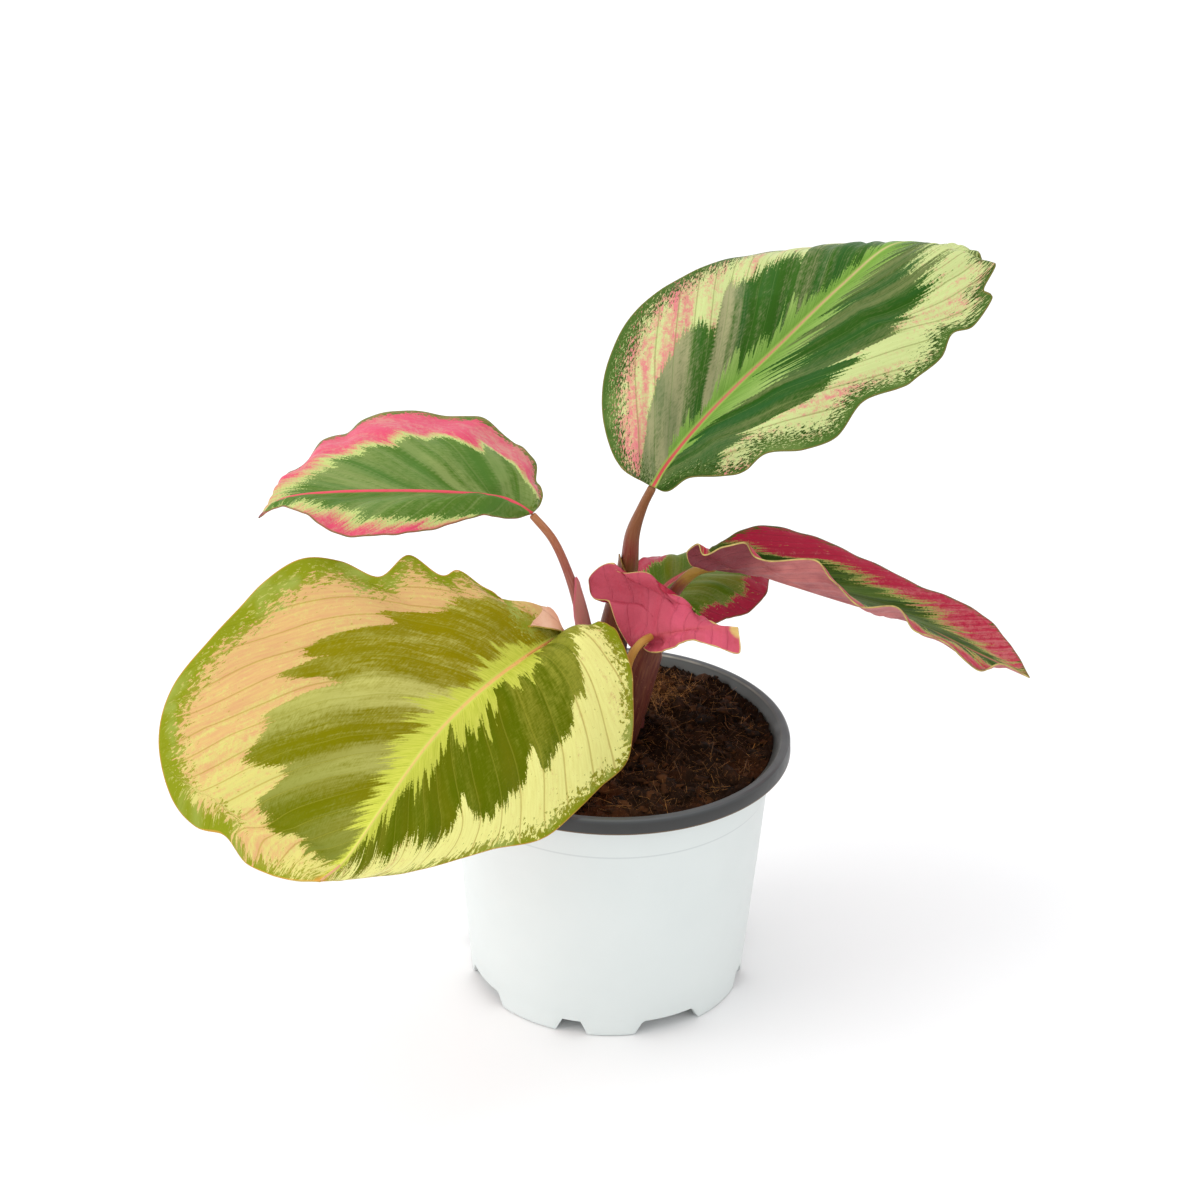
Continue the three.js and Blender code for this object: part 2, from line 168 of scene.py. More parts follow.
# %% A short way to write finishes
def paint(red, green, blue):
    """A colour from a paint chart as the light values that Blender works in."""
    def linear(value):
        value /= 255
        return value / 12.92 if value <= 0.04045 else ((value + 0.055) / 1.055) ** 2.4

    return (linear(red), linear(green), linear(blue), 1.0)


def painted(**entries):
    """A chart of colours. Entries with three numbers are paints, the others stay as they are."""
    return {key: paint(*entry) if isinstance(entry, tuple) else entry
            for key, entry in entries.items()}


class Finish:
    """A material that is written as a list of steps."""
    def __init__(self, name, roughness=0.5, specular=0.5):
        self.material = bpy.data.materials.new(name)
        self.material.use_nodes = True
        self.tree = self.material.node_tree
        self.shader = self.tree.nodes["Principled BSDF"]
        self.shader.inputs["Roughness"].default_value = roughness
        self.shader.inputs["Specular IOR Level"].default_value = specular

    def put(self, socket, source):
        """Links a source to a socket, or sets the socket to a number or a colour."""
        if isinstance(source, bpy.types.NodeSocket):
            self.tree.links.new(source, socket)
        elif isinstance(source, (tuple, list)) and len(socket.default_value) == 3:
            socket.default_value = source[:3]
        else:
            socket.default_value = source

    def add(self, kind, output=0, sources=None, **settings):
        """Adds any node and gives back one of its outputs."""
        node = self.tree.nodes.new(kind)
        for key, value in settings.items():
            setattr(node, key, value)
        for key, source in (sources or {}).items():
            self.put(node.inputs[key], source)
        return node.outputs[output]

    def place(self):
        return self.add("ShaderNodeTexCoord", "Object")

    def coordinate(self, axis):
        return self.add("ShaderNodeSeparateXYZ", axis, {"Vector": self.place()})

    def from_axis(self):
        """How far a place is from the upright axis."""
        flat_place = self.stretched(self.place(), (1, 1, 0))
        return self.add("ShaderNodeVectorMath", "Value", {0: flat_place}, operation="LENGTH")

    def field(self, name):
        return self.add("ShaderNodeAttribute", "Fac", attribute_name=name)

    def vector(self, x, y, z=0.0):
        return self.add("ShaderNodeCombineXYZ", sources={0: x, 1: y, 2: z})

    def maths(self, operation, a, b=0.0, c=0.0):
        return self.add("ShaderNodeMath", sources={0: a, 1: b, 2: c}, operation=operation)

    def times(self, a, b):
        return self.maths("MULTIPLY", a, b)

    def plus(self, a, b):
        return self.maths("ADD", a, b)

    def minus(self, a, b):
        return self.maths("SUBTRACT", a, b)

    def size_of(self, a):
        return self.maths("ABSOLUTE", a)

    def stretched(self, vector, scale):
        return self.add("ShaderNodeMapping", sources={"Vector": vector, "Scale": scale})

    def noise(self, vector, scale, detail=3.0, roughness=0.55):
        sources = {"Vector": vector, "Scale": scale, "Detail": detail, "Roughness": roughness}
        return self.add("ShaderNodeTexNoise", "Fac", sources)

    def cells(self, vector, scale):
        """How far a place is from the middle of its cell, in a net of uneven cells."""
        sources = {"Vector": vector, "Scale": scale}
        return self.add("ShaderNodeTexVoronoi", "Distance", sources, feature="F1")

    def chance(self, number):
        """One random value for each whole number."""
        whole = self.maths("FLOOR", number)
        return self.add("ShaderNodeTexWhiteNoise", "Value", {"W": whole}, noise_dimensions="1D")

    def edge(self, value, low, high):
        """0 below low, 1 above high, and smooth between them."""
        sources = {"Value": value, "From Min": low, "From Max": high}
        return self.add("ShaderNodeMapRange", sources=sources, interpolation_type="SMOOTHSTEP")

    def fade(self, value, low, high):
        """1 below low, 0 above high, and smooth between them."""
        return self.minus(1.0, self.edge(value, low, high))

    def line_at(self, value, place, core, reach):
        """A soft line: 1 where value is within core of place, 0 beyond reach."""
        return self.fade(self.size_of(self.minus(value, place)), core, reach)

    def span(self, value, low, high, to_low=0.0, to_high=1.0):
        """Goes evenly from to_low to to_high while value goes from low to high."""
        sources = {"Value": value, "From Min": low, "From Max": high}
        sources.update({"To Min": to_low, "To Max": to_high})
        return self.add("ShaderNodeMapRange", sources=sources)

    def mix(self, share, first, second):
        """The first colour where share is 0, the second where it is 1."""
        sources = {0: share, 6: first, 7: second}
        return self.add("ShaderNodeMix", 2, sources, data_type="RGBA", blend_type="MIX")

    def over(self, colour, other, where, share):
        """Lays another colour over the first by share, where the mask says."""
        return self.mix(self.times(where, share), colour, other)

    def bump(self, height, strength, distance, after=None):
        """Bends the normal as if the surface rose by height times distance."""
        sources = {"Height": height, "Strength": strength, "Distance": distance}
        if after is not None:
            sources["Normal"] = after
        return self.add("ShaderNodeBump", sources=sources)

    def done(self, colour, roughness=None, normal=None):
        """Joins the last steps to the shader and hands back the material."""
        self.put(self.shader.inputs["Base Color"], colour)
        if roughness is not None:
            self.put(self.shader.inputs["Roughness"], roughness)
        if normal is not None:
            self.put(self.shader.inputs["Normal"], normal)
        return self.material


print("white paint is", [round(c, 3) for c in paint(255, 255, 255)])

# %% [markdown]
# The studio is a plain pale floor that fills the view, and soft light from everywhere. A large soft
# lamp on the left makes the left of the pot brighter than its right and lays a faint shadow on the
# right. A second one overhead, a little behind the plant, gives the blades their satin sheen.

# %% Floor and light
FLOOR_SIZE = 12
FLOOR_PLACE = (0, 3, -0.0004)
AIR_LIGHT = 1.05
PLANT_MIDDLE = (0, 0, 0.12)

floor_finish = Finish("studio_floor", roughness=0.9, specular=0.1)
floor_grain = floor_finish.noise(floor_finish.place(), 3.0)
floor_colour = floor_finish.mix(floor_grain, (0.93, 0.93, 0.93, 1), (0.95, 0.95, 0.95, 1))

bpy.ops.mesh.primitive_plane_add(size=FLOOR_SIZE, location=FLOOR_PLACE)
floor = added("studio_floor")
bpy.ops.object.transform_apply(location=True, rotation=False, scale=False)
floor.data.materials.append(floor_finish.done(floor_colour))

world = bpy.data.worlds.new("studio_air")
bpy.context.scene.world = world
world.use_nodes = True
air = world.node_tree.nodes["Background"]
air.inputs["Color"].default_value = (0.98, 0.99, 1.0, 1)
air.inputs["Strength"].default_value = AIR_LIGHT


def soft_lamp(name, place, width, height, power):
    """A rectangular lamp that faces the plant. Place and size are in metres, power in watts."""
    bpy.ops.object.light_add(type="AREA", location=place)
    lamp = added(name)
    lamp.data.shape = "RECTANGLE"
    lamp.data.size = width
    lamp.data.size_y = height
    lamp.data.energy = power
    to_plant = Vector(PLANT_MIDDLE) - Vector(place)
    lamp.rotation_euler = to_plant.to_track_quat("-Z", "Y").to_euler()


soft_lamp("left_softbox", (-1.6, -0.5, 0.8), width=1.2, height=1.2, power=11)
soft_lamp("top_softbox", (-0.3, 0.3, 1.6), width=1.6, height=1.2, power=5)
bpy.context.scene.view_settings.view_transform = "Standard"
bpy.context.scene.view_settings.look = "None"
pick()

# %% [markdown]
# The real pot is one thin sheet of plastic, white outside and black inside, drawn over a mould
# while it is warm. Its rim is rolled outwards, which is why the black side shows there. Such a round
# part is best made as a lathe would: draw half of its section once, then spin it round the axis.
# The section is a closed line, up the outside, over the lip and down the inside. Each of its points
# is a distance from the axis and a height, in mm.

# %% Section of the pot
POT_HEIGHT = 91
LIP_RADIUS = 60
LIP_EDGE_Z = 86.1
BEND_RADIUS = 56.7
SHOULDER_Z = 73.2
FOOT_RADIUS = 46.7
RING_INSIDE = 44.9
FLOOR_Z = 5.1
FLOOR_TOP_Z = 6
CENTRE_FOOT_TOP_Z = 0.9
SPIN_STEPS = 240

UNDER_FLOOR = [
    (0, 0), (8, 0), (9, FLOOR_Z), (44.6, FLOOR_Z), (44.75, 3.4), (44.85, 1.7), (RING_INSIDE, 0),
]
OUTSIDE_WALL = [
    (FOOT_RADIUS, 0), (46.8, 1.2), (46.87, 2.4), (46.93, 3.6), (47, 4.9), (47, 6), (47.25, 7.2),
    (47.8, 12), (49.5, 32), (51.2, 52), (52.8, 72.9), (53.3, 73.9), (53.8, 85.5),
]
ROLLED_LIP = [
    (55.2, 88.4), (BEND_RADIUS, 89.8), (58.7, 89.9), (58.95, LIP_EDGE_Z), (LIP_RADIUS, LIP_EDGE_Z),
    (59.8, 89.6), (59.4, 90.6), (58.7, POT_HEIGHT), (57, POT_HEIGHT), (56.3, 90.5), (54.3, 88.2),
]
INSIDE_WALL = [
    (52.9, 85.3), (52.4, 74), (51.9, 73), (50.2, 52), (48.5, 32), (46.8, 12), (46.2, 7),
    (45.3, FLOOR_TOP_Z),
]
INSIDE_FLOOR = [(8.6, FLOOR_TOP_Z), (7.2, CENTRE_FOOT_TOP_Z), (0, CENTRE_FOOT_TOP_Z)]
SECTION = UNDER_FLOOR + OUTSIDE_WALL + ROLLED_LIP + INSIDE_WALL + INSIDE_FLOOR

bpy.ops.mesh.primitive_circle_add(vertices=len(SECTION), radius=0.05)
pot = added("pot")
place_points(pot, [(r * MM, 0, z * MM) for r, z in SECTION])
edit_all_of(pot)
bpy.ops.mesh.spin(steps=SPIN_STEPS, angle=2 * math.pi, center=(0, 0, 0), axis=(0, 0, 1))
close_mesh(pot, 0.02 * MM)
face_outwards(pot)
print("pot faces:", len(pot.data.polygons))

# %% [markdown]
# The foot ring has eight notches, four narrow and four wide, so that water can run out under the
# pot. A knife would leave ragged faces. Pressing the ring's own points up towards the floor of the
# pot keeps clean quads, and the sloping ends of a notch come from pressing less there.

# %% Notches in the foot ring
NOTCH_HEIGHT = 4.85
RING_HEIGHT = 5
# degrees from the front, then the width at the bottom and at the top, each four times round
NOTCHES = [(-14.2, 10.2, 7.0), (27.0, 24.4, 18.5)]


def notch_height(angle):
    """How high the foot is cut away at an angle from the front, in degrees."""
    height = 0.0
    for centre, bottom, top in NOTCHES:
        for quarter in range(4):
            away = (angle - centre - 90 * quarter + 180) % 360 - 180
            distance = abs(math.radians(away)) * FOOT_RADIUS
            slope = (bottom / 2 - distance) / (bottom / 2 - top / 2)
            height = max(height, NOTCH_HEIGHT * min(max(slope, 0), 1))
    return height


points = read_points(pot)
for point in points:
    radius = math.hypot(point[0], point[1]) / MM
    if radius > RING_INSIDE - 1 and point[2] < RING_HEIGHT * MM:
        cut = notch_height(math.degrees(math.atan2(point[0], -point[1])))
        point[2] = cut * MM + point[2] * (1 - cut / RING_HEIGHT)
place_points(pot, points)
print("notched foot points:", int((points[:, 2] < RING_HEIGHT * MM).sum()))

# %% [markdown]
# Four drain holes go through the floor of the pot. The photograph can't show them, but every such
# pot has them. They are cut with a Boolean, a cylinder each, and a Bevel then rounds every corner
# of the section, because formed plastic never has a sharp edge.

# %% Drain holes and rounded edges
HOLE_RADIUS = 3.5
HOLES_FROM_AXIS = 36
FIRST_HOLE = 27  # degrees from the front
DRILL_LENGTH = 4
DRILL_Z = 5.6
EDGE_ROUNDING = 0.35

for quarter in range(4):
    turn = math.radians(FIRST_HOLE + 90 * quarter)
    out = HOLES_FROM_AXIS * MM
    middle = (out * math.sin(turn), -out * math.cos(turn), DRILL_Z * MM)
    pick()
    bpy.ops.mesh.primitive_cylinder_add(
        vertices=32, radius=HOLE_RADIUS * MM, depth=DRILL_LENGTH * MM, location=middle
    )
    drill = added("drill")
    apply_modifier(pot, "BOOLEAN", object=drill, operation="DIFFERENCE", solver="EXACT")
    bpy.data.objects.remove(drill)
apply_modifier(
    pot, "BEVEL", width=EDGE_ROUNDING * MM, segments=2, limit_method="ANGLE", angle_limit=0.45
)
pick(pot)
bpy.ops.object.shade_smooth_by_angle(angle=math.radians(40))
print("pot faces with its holes:", len(pot.data.polygons))

# %% [markdown]
# Outside the plastic is satin white, a little cool, with faint clouds, specks of dust and a faint
# line of painted shade at the shoulder, where the wall widens.

# %% White outside of the pot
def white_plastic():
    white = Finish("pot_white", roughness=0.42)
    place = white.place()
    colour = white.mix(white.noise(place, 35, 4), paint(213, 219, 217), paint(221, 226, 224))
    dust = white.edge(white.noise(place, 420, 5, 0.7), 0.66, 0.74)
    colour = white.over(colour, paint(170, 168, 160), dust, 0.10)
    # painted shade: a faint darker line at the shoulder step
    shoulder_shade_line = white.line_at(white.coordinate("Z"), SHOULDER_Z * MM, 0.1 * MM, 0.6 * MM)
    colour = white.over(colour, paint(150, 158, 160), shoulder_shade_line, 0.3)
    rough = white.span(white.noise(place, 90, 4), 0.3, 0.7, 0.36, 0.5)
    rings = white.noise(white.stretched(place, (1, 1, 14)), 12, 3)
    normal = white.bump(rings, 0.12, 0.0004)
    normal = white.bump(white.noise(place, 900, 2), 0.05, 0.0002, normal)
    return white.done(colour, rough, normal)


pot.data.materials.append(white_plastic())
print("outside:", pot.data.materials[0].name)

# %% [markdown]
# The lip and the inside are charcoal, with dust of the soil on them. The slope inside the lip is
# painted paler at the back, as painted light where more light falls on it. The flat top of the lip
# has painted light and its outer face painted shade, its inner bend has a painted highlight line
# that is strongest at the back, and a thin brown line runs along its lower edge.

# %% Dark lip and inside of the pot
LIP_TOP_Z = (89.6, 90.3)
TOP_FROM = (56.6, 57.2)
OUTER_FACE_FROM = (59.0, 59.7)
SLOPE_UP_TO = (55.8, 56.8)
BACK_FROM = (15, 50)


def in_metres(lengths):
    return [length * MM for length in lengths]


def dark_plastic():
    dark = Finish("pot_dark", roughness=0.38)
    place = dark.place()
    height = dark.coordinate("Z")
    from_axis = dark.from_axis()
    at_the_back = dark.span(dark.coordinate("Y"), *in_metres(BACK_FROM))
    colour = dark.mix(dark.noise(place, 60, 4), paint(52, 52, 50), paint(66, 66, 62))
    soil_dust = dark.edge(dark.noise(place, 700, 5, 0.75), 0.62, 0.72)
    colour = dark.over(colour, paint(96, 82, 66), soil_dust, 0.35)
    # painted light: the slope inside the lip is paler at the back
    slope = dark.times(dark.fade(from_axis, *in_metres(SLOPE_UP_TO)), at_the_back)
    colour = dark.over(colour, paint(98, 104, 100), slope, 0.6)
    # painted light: the flat top of the lip is paler
    top = dark.edge(from_axis, *in_metres(TOP_FROM))
    top = dark.times(top, dark.edge(height, *in_metres(LIP_TOP_Z)))
    colour = dark.over(colour, paint(88, 92, 95), top, 0.5)
    # painted shade: the outer face of the lip is darker
    shaded_outer_face = dark.edge(from_axis, *in_metres(OUTER_FACE_FROM))
    colour = dark.over(colour, paint(36, 36, 37), shaded_outer_face, 0.7)
    # painted highlight: a pale line along the inner bend, strongest at the back
    inner_bend_highlight = dark.line_at(from_axis, BEND_RADIUS * MM, 0.1 * MM, 0.5 * MM)
    inner_bend_highlight = dark.times(inner_bend_highlight, dark.span(dark.noise(place, 60, 3), 0.35, 0.6, 0.2, 0.8))
    inner_bend_highlight = dark.times(inner_bend_highlight, dark.plus(at_the_back, 0.12))
    colour = dark.mix(inner_bend_highlight, colour, paint(170, 168, 154))
    lower_edge = dark.line_at(height, LIP_EDGE_Z * MM, 0.1 * MM, 0.5 * MM)
    colour = dark.over(colour, paint(140, 104, 66), lower_edge, 0.5)
    rough = dark.span(dark.noise(place, 150, 4), 0.3, 0.7, 0.3, 0.5)
    rings = dark.noise(dark.stretched(place, (1, 1, 10)), 25, 3)
    return dark.done(colour, rough, dark.bump(rings, 0.2, 0.0005))


pot.data.materials.append(dark_plastic())
print("inside:", pot.data.materials[1].name)

# %% [markdown]
# On the real sheet both colours are layers of one wall. So the mesh stays one piece, and its faces
# are told apart by place: under the lip and outside is white, all else is dark.

# %% White faces and dark faces
WALL_LEAN = 0.0876  # mm outwards for each mm upwards
HALF_WALL = 0.45
LIP_STARTS_Z = 85.6
LIP_STARTS_RADIUS = 54.6

for face in pot.data.polygons:
    radius = math.hypot(face.center.x, face.center.y) / MM
    height = face.center.z / MM
    middle_of_wall = 47 + (height - 6) * WALL_LEAN - HALF_WALL
    looks_out = face.normal.xy.dot(face.center.xy) > 0
    under_lip = height < LIP_STARTS_Z or (radius < LIP_STARTS_RADIUS and looks_out)
    is_white = under_lip and (radius > middle_of_wall or height < FLOOR_TOP_Z - 0.5)
    face.material_index = 0 if is_white else 1
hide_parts("nursery_pot")
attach(pot, "root")
print("white faces:", sum(face.material_index == 0 for face in pot.data.polygons))

# %% [markdown]
# Potting soil is peat and coconut fibre. Close up it is a dark, broken surface with crumbs, and fine
# golden fibres lie across it in tufts. One flat disc can't show that. So there are a lumpy bed, many
# crumbs half sunk in it, fibres on top, two stray straws and a little moss. The bed starts as a
# grid, is drawn in to a disc and is pushed up and down with noise. It is heaped up to the lip at the
# back, and a large clod leans against the wall there.

# %% Soil bed
SOIL_RADIUS = 54.0
SOIL_LEVEL = 87.9
BED_CELLS = 220
HEAP_HEIGHT = 1.8
CLOD_HEIGHT = 2.6
# radius and height of the rings that lead the bed down inside the pot, in mm
BED_RINGS = [(52.8, 85.2), (52.2, 75.5), (51.7, 73.5), (45.6, 7.5), (44.0, 6.4)]


def mound(x, y, middle_x, middle_y, spread):
    """1 at the middle of a round mound and less the farther away. spread is in square mm."""
    return math.exp(-((x - middle_x) ** 2 + (y - middle_y) ** 2) / spread)


def soil_height(x, y):
    """Height of the soil at a place, all in mm."""
    radius = math.hypot(x, y)
    broad = 0.9 * math.sin(x / 9 + 0.8) * math.cos(y / 8 - 0.4)
    broad += 0.8 * math.sin(x / 3.7 - y / 5.1) * math.cos(y / 3.3 + x / 6.2)
    clods = 3.2 * noise.fractal(Vector((x, y, 3)) / 8, 0.8, 2.1, 3)
    crumbs = 1.7 * noise.fractal(Vector((x, y, 8)) / 2.6, 0.6, 2.2, 4)
    heap = HEAP_HEIGHT * mound(x, y, -8, 40, 500)
    clod = CLOD_HEIGHT * mound(x, y, 33, 34, 60)
    inside = min(1.0, max(0.0, (SOIL_RADIUS - radius) / 6))
    return SOIL_LEVEL - 0.6 * inside + (broad + clods) * inside + crumbs + heap + clod


pick()
bpy.ops.mesh.primitive_grid_add(
    x_subdivisions=BED_CELLS, y_subdivisions=BED_CELLS, size=2 * SOIL_RADIUS * MM,
    location=(0, 0, SOIL_LEVEL * MM),
)
bed = added("soil_bed")
bpy.ops.object.transform_apply(location=True, rotation=False, scale=False)
points = read_points(bed) / MM
for point in points:
    x, y = point[0] / SOIL_RADIUS, point[1] / SOIL_RADIUS
    point[0] = SOIL_RADIUS * x * math.sqrt(max(0, 1 - y * y / 2))
    point[1] = SOIL_RADIUS * y * math.sqrt(max(0, 1 - x * x / 2))
    point[2] = soil_height(point[0], point[1])
place_points(bed, points * MM)
edit_all_of(bed)
bpy.ops.mesh.region_to_loop()
for radius, height in BED_RINGS:
    bpy.ops.mesh.extrude_region_move()
    bpy.ops.object.mode_set(mode="OBJECT")
    for vertex in bed.data.vertices:
        if vertex.select:
            outwards = Vector((vertex.co.x, vertex.co.y, 0)).normalized() * radius * MM
            vertex.co = (outwards.x, outwards.y, height * MM)
    bpy.ops.object.mode_set(mode="EDIT")
bpy.ops.mesh.edge_face_add()
face_outwards(bed)
smooth(bed)
print("soil bed faces:", len(bed.data.polygons))

# %% [markdown]
# Moist peat is nearly black, and reddish brown on its lumps. Its near-black is partly the peat's own
# colour and partly painted shade for its hollows. The finish mixes three browns by noise of different
# sizes. Each crumb and fibre also carries a random number called shade, so that neighbours differ.

# %% Soil finishes
# near-black: partly the peat's own colour, partly painted shade for its hollows
PEAT_BLACK_AND_SHADE = paint(13, 7, 3)


def peat_finish():
    peat = Finish("peat", roughness=0.85, specular=0.12)
    place = peat.place()
    colour = peat.mix(peat.noise(place, 160, 5, 0.7), PEAT_BLACK_AND_SHADE, paint(56, 32, 15))
    rusty = peat.edge(peat.noise(place, 48, 4, 0.65), 0.5, 0.66)
    colour = peat.over(colour, paint(84, 44, 18), rusty, 0.6)
    light_bits = peat.edge(peat.noise(place, 1100, 3, 0.7), 0.63, 0.72)
    colour = peat.over(colour, paint(166, 110, 56), light_bits, 0.7)
    grain = peat.noise(place, 900, 6, 0.75)
    return peat.done(colour, normal=peat.bump(grain, 0.9, 0.0012))


def crumb_finish():
    crumb = Finish("crumb", roughness=0.8, specular=0.12)
    place = crumb.place()
    colour = crumb.mix(crumb.field("shade"), PEAT_BLACK_AND_SHADE, paint(88, 52, 24))
    lumps = crumb.edge(crumb.noise(place, 700, 5, 0.7), 0.45, 0.75)
    colour = crumb.mix(lumps, colour, paint(84, 50, 26))
    grain = crumb.noise(place, 1500, 5, 0.75)
    return crumb.done(colour, normal=crumb.bump(grain, 0.9, 0.0008))


def fibre_finish():
    fibre = Finish("fibre", roughness=0.6, specular=0.35)
    place = fibre.place()
    colour = fibre.mix(fibre.field("shade"), paint(80, 45, 20), paint(228, 160, 84))
    patches = fibre.span(fibre.noise(place, 900, 4), 0.4, 0.7, 0.0, 0.6)
    colour = fibre.mix(patches, colour, paint(60, 34, 16))
    grain = fibre.noise(place, 2500, 3)
    return fibre.done(colour, normal=fibre.bump(grain, 0.6, 0.0003))


bed.data.materials.append(peat_finish())
CRUMB = crumb_finish()
FIBRE = fibre_finish()
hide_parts("potting_soil")
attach(bed, "root")
print("soil finishes:", bed.data.materials[0].name, CRUMB.name, FIBRE.name)

# %% [markdown]
# Crumbs and fibres repeat hundreds of times, so each is light: a crumb is a small ball of eighty
# faces pushed well out of round, and a fibre is a thin bent tube. A few of each are made and then
# copied all over the bed with a random turn and size. Fibres gather where the soil is heaped, and
# at the back, where it has dried, short curly ones form golden tufts. Darker ones lie everywhere. The
# random numbers start from a fixed seed, so that every run gives the same soil.

# %% Model a few crumbs and fibres
chance = random.Random(7)
FIBRE_GIRTH = 0.012  # half the width of a fibre that is one unit long


def model_crumb(number):
    """A small ball, pushed out of round and flattened."""
    pick()
    bpy.ops.mesh.primitive_ico_sphere_add(subdivisions=2, radius=1)
    piece = added(f"crumb_{number}")
    points = read_points(piece)
    for point in points:
        push = 1 + 0.75 * noise.noise(Vector(point) * 1.1 + Vector((7 * number, 3, 0)))
        push += 0.55 * noise.noise(Vector(point) * 2.7 + Vector((0, 5 * number, 1)))
        point *= push
        point[2] *= 0.55
    place_points(piece, points)
    piece.data.materials.append(CRUMB)
    return piece


def model_fibre(number):
    """A bent tube one unit long, with four sides. Both its ends are thin."""
    pick()
    bpy.ops.mesh.primitive_cylinder_add(vertices=4, radius=1, depth=1, end_fill_type="NGON")
    piece = added(f"fibre_{number}")
    pick(piece)
    bpy.ops.object.mode_set(mode="EDIT")
    bpy.ops.mesh.select_all(action="DESELECT")
    bpy.ops.object.mode_set(mode="OBJECT")
    for edge in piece.data.edges:
        ends = [piece.data.vertices[i].co.z for i in edge.vertices]
        edge.select = abs(ends[0] - ends[1]) > 0.5
    bpy.ops.object.mode_set(mode="EDIT")
    bpy.ops.mesh.subdivide_edgering(number_cuts=7, smoothness=0)
    bpy.ops.object.mode_set(mode="OBJECT")
    points = read_points(piece)
    bends = [chance.uniform(-1, 1) for _ in range(4)]
    for point in points:
        s = point[2] + 0.5
        thin = 0.35 + 0.65 * math.sin(math.pi * (0.12 + 0.76 * s))
        side = 0.10 * bends[0] * math.sin(2.2 * math.pi * s) + 0.22 * bends[1] * (s - s * s) * 2
        side += FIBRE_GIRTH * thin * point[0]
        lift = 0.22 * abs(bends[2]) * math.sin(math.pi * s) + 0.05 * bends[3] * math.sin(5 * s)
        lift += FIBRE_GIRTH * thin * point[1]
        point[:] = (s - 0.5, side, lift)
    place_points(piece, points)
    piece.data.materials.append(FIBRE)
    return piece


crumb_models = [model_crumb(number) for number in range(6)]
fibre_models = [model_fibre(number) for number in range(8)]
print("models:", len(crumb_models), "crumbs,", len(fibre_models), "fibres")

# %% [markdown]
# A place on the bed is drawn by chance and drawn again until it is clear of the wall and the stalks.
# A copy is laid there, and at the end the copies of a kind are joined to one piece.

# %% Helpers for scattering
def off_the_stalks(x, y, clearance):
    """Whether a place keeps clear of the stalks, which stand close together."""
    return math.hypot(x - 1, y - 2) > clearance


def on_the_bed(reach, gathered):
    """A random place on the soil, off the stalks, in mm. Gathered pieces crowd at the back."""
    while True:
        x, y = chance.uniform(-reach, reach), chance.uniform(-reach, reach)
        crowd = mound(x, y, 6, 34, 500)
        if chance.random() > 1 - gathered * (1 - crowd):
            continue
        if math.hypot(x, y) < reach and off_the_stalks(x, y, 7):
            return x, y


def any_turn():
    return chance.uniform(0, 6.28)


def placed_copy(name, model, place, turn, lean, size, shade):
    """A copy with a mesh of its own, sized and turned. Place and size are in mm."""
    copy = bpy.data.objects.new(name, model.data.copy())
    bpy.context.collection.objects.link(copy)
    turned = Matrix.Rotation(turn, 4, "Z") @ Matrix.Rotation(lean, 4, "Y")
    sized = Matrix.Diagonal((*[s * MM for s in size], 1))
    copy.data.transform(Matrix.Translation(Vector(place) * MM) @ turned @ sized)
    write_field(copy, "shade", [shade] * len(copy.data.vertices))
    return copy


def join_copies(name, copies):
    """Joins scattered copies to one piece of soil."""
    pick(copies[0])
    for copy in copies:
        copy.select_set(True)
    bpy.ops.object.join()
    piece = added(name)
    smooth(piece)
    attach(piece, "root")
    print(name, "faces:", len(piece.data.polygons))


print("a place on the bed, in mm:", [round(c, 1) for c in (0, 30, soil_height(0, 30))])

# %% [markdown]
# First the crumbs, most of them small. At the back, where the soil has dried, they are lighter.

# %% Crumbs
CRUMBS = 1400

crumbs = []
for _ in range(CRUMBS):
    size = 0.4 + 2.4 * chance.random() ** 4
    sizes = (size * chance.uniform(0.8, 1.5), size, size * chance.uniform(0.5, 1.0))
    x, y = on_the_bed(SOIL_RADIUS - 1.2 - size, 0.0)
    place = (x, y, soil_height(x, y) - 0.2 * sizes[2])
    dryness = mound(x, y, 12, 34, 200)
    crumbs.append(placed_copy(
        "soil_crumbs", chance.choice(crumb_models), place, any_turn(),
        chance.uniform(-0.6, 0.6), sizes, chance.random() ** 2 + dryness,
    ))
join_copies("soil_crumbs", crumbs)

# %% [markdown]
# Then the long fibres, which crowd where the soil is heaped, and after them the short curly ones.

# %% Fibres
FIBRES = 2600
DARK_CURLS = 2400
GOLDEN_CURLS = 1200
CURLS_REACH = SOIL_RADIUS - 3.5

fibres = []
for _ in range(FIBRES):
    length = 2.0 + 9 * chance.random() ** 2.5
    sizes = (length, length * 0.9, length * 0.5)
    x, y = on_the_bed(SOIL_RADIUS - 0.8 - 0.45 * length, 0.75)
    place = (x, y, soil_height(x, y) + 0.02 * length)
    fibres.append(placed_copy(
        "soil_fibres", chance.choice(fibre_models), place, any_turn(),
        chance.gauss(0, 0.4), sizes, chance.random() ** 1.5,
    ))
join_copies("soil_fibres", fibres)


def curly_fibre(x, y, shade):
    """A short fibre, bent much more than the long ones."""
    length = chance.uniform(1.5, 4.5)
    place = (x, y, soil_height(x, y) + chance.uniform(-0.2, 0.7))
    sizes = (length, 2.0 * length, 1.6 * length)
    return placed_copy("soil_tufts", chance.choice(fibre_models), place,
                       any_turn(), chance.gauss(0, 0.7), sizes, shade)


tufts = []
for _ in range(DARK_CURLS):
    x, y = on_the_bed(CURLS_REACH, 0.0)
    tufts.append(curly_fibre(x, y, 0.5 * chance.random() ** 2))
while len(tufts) < DARK_CURLS + GOLDEN_CURLS:
    x, y = chance.gauss(11, 8), chance.gauss(33, 7)
    if math.hypot(x, y) < CURLS_REACH and off_the_stalks(x, y, 9):
        tufts.append(curly_fibre(x, y, chance.uniform(0.4, 1.3)))
join_copies("soil_tufts", tufts)

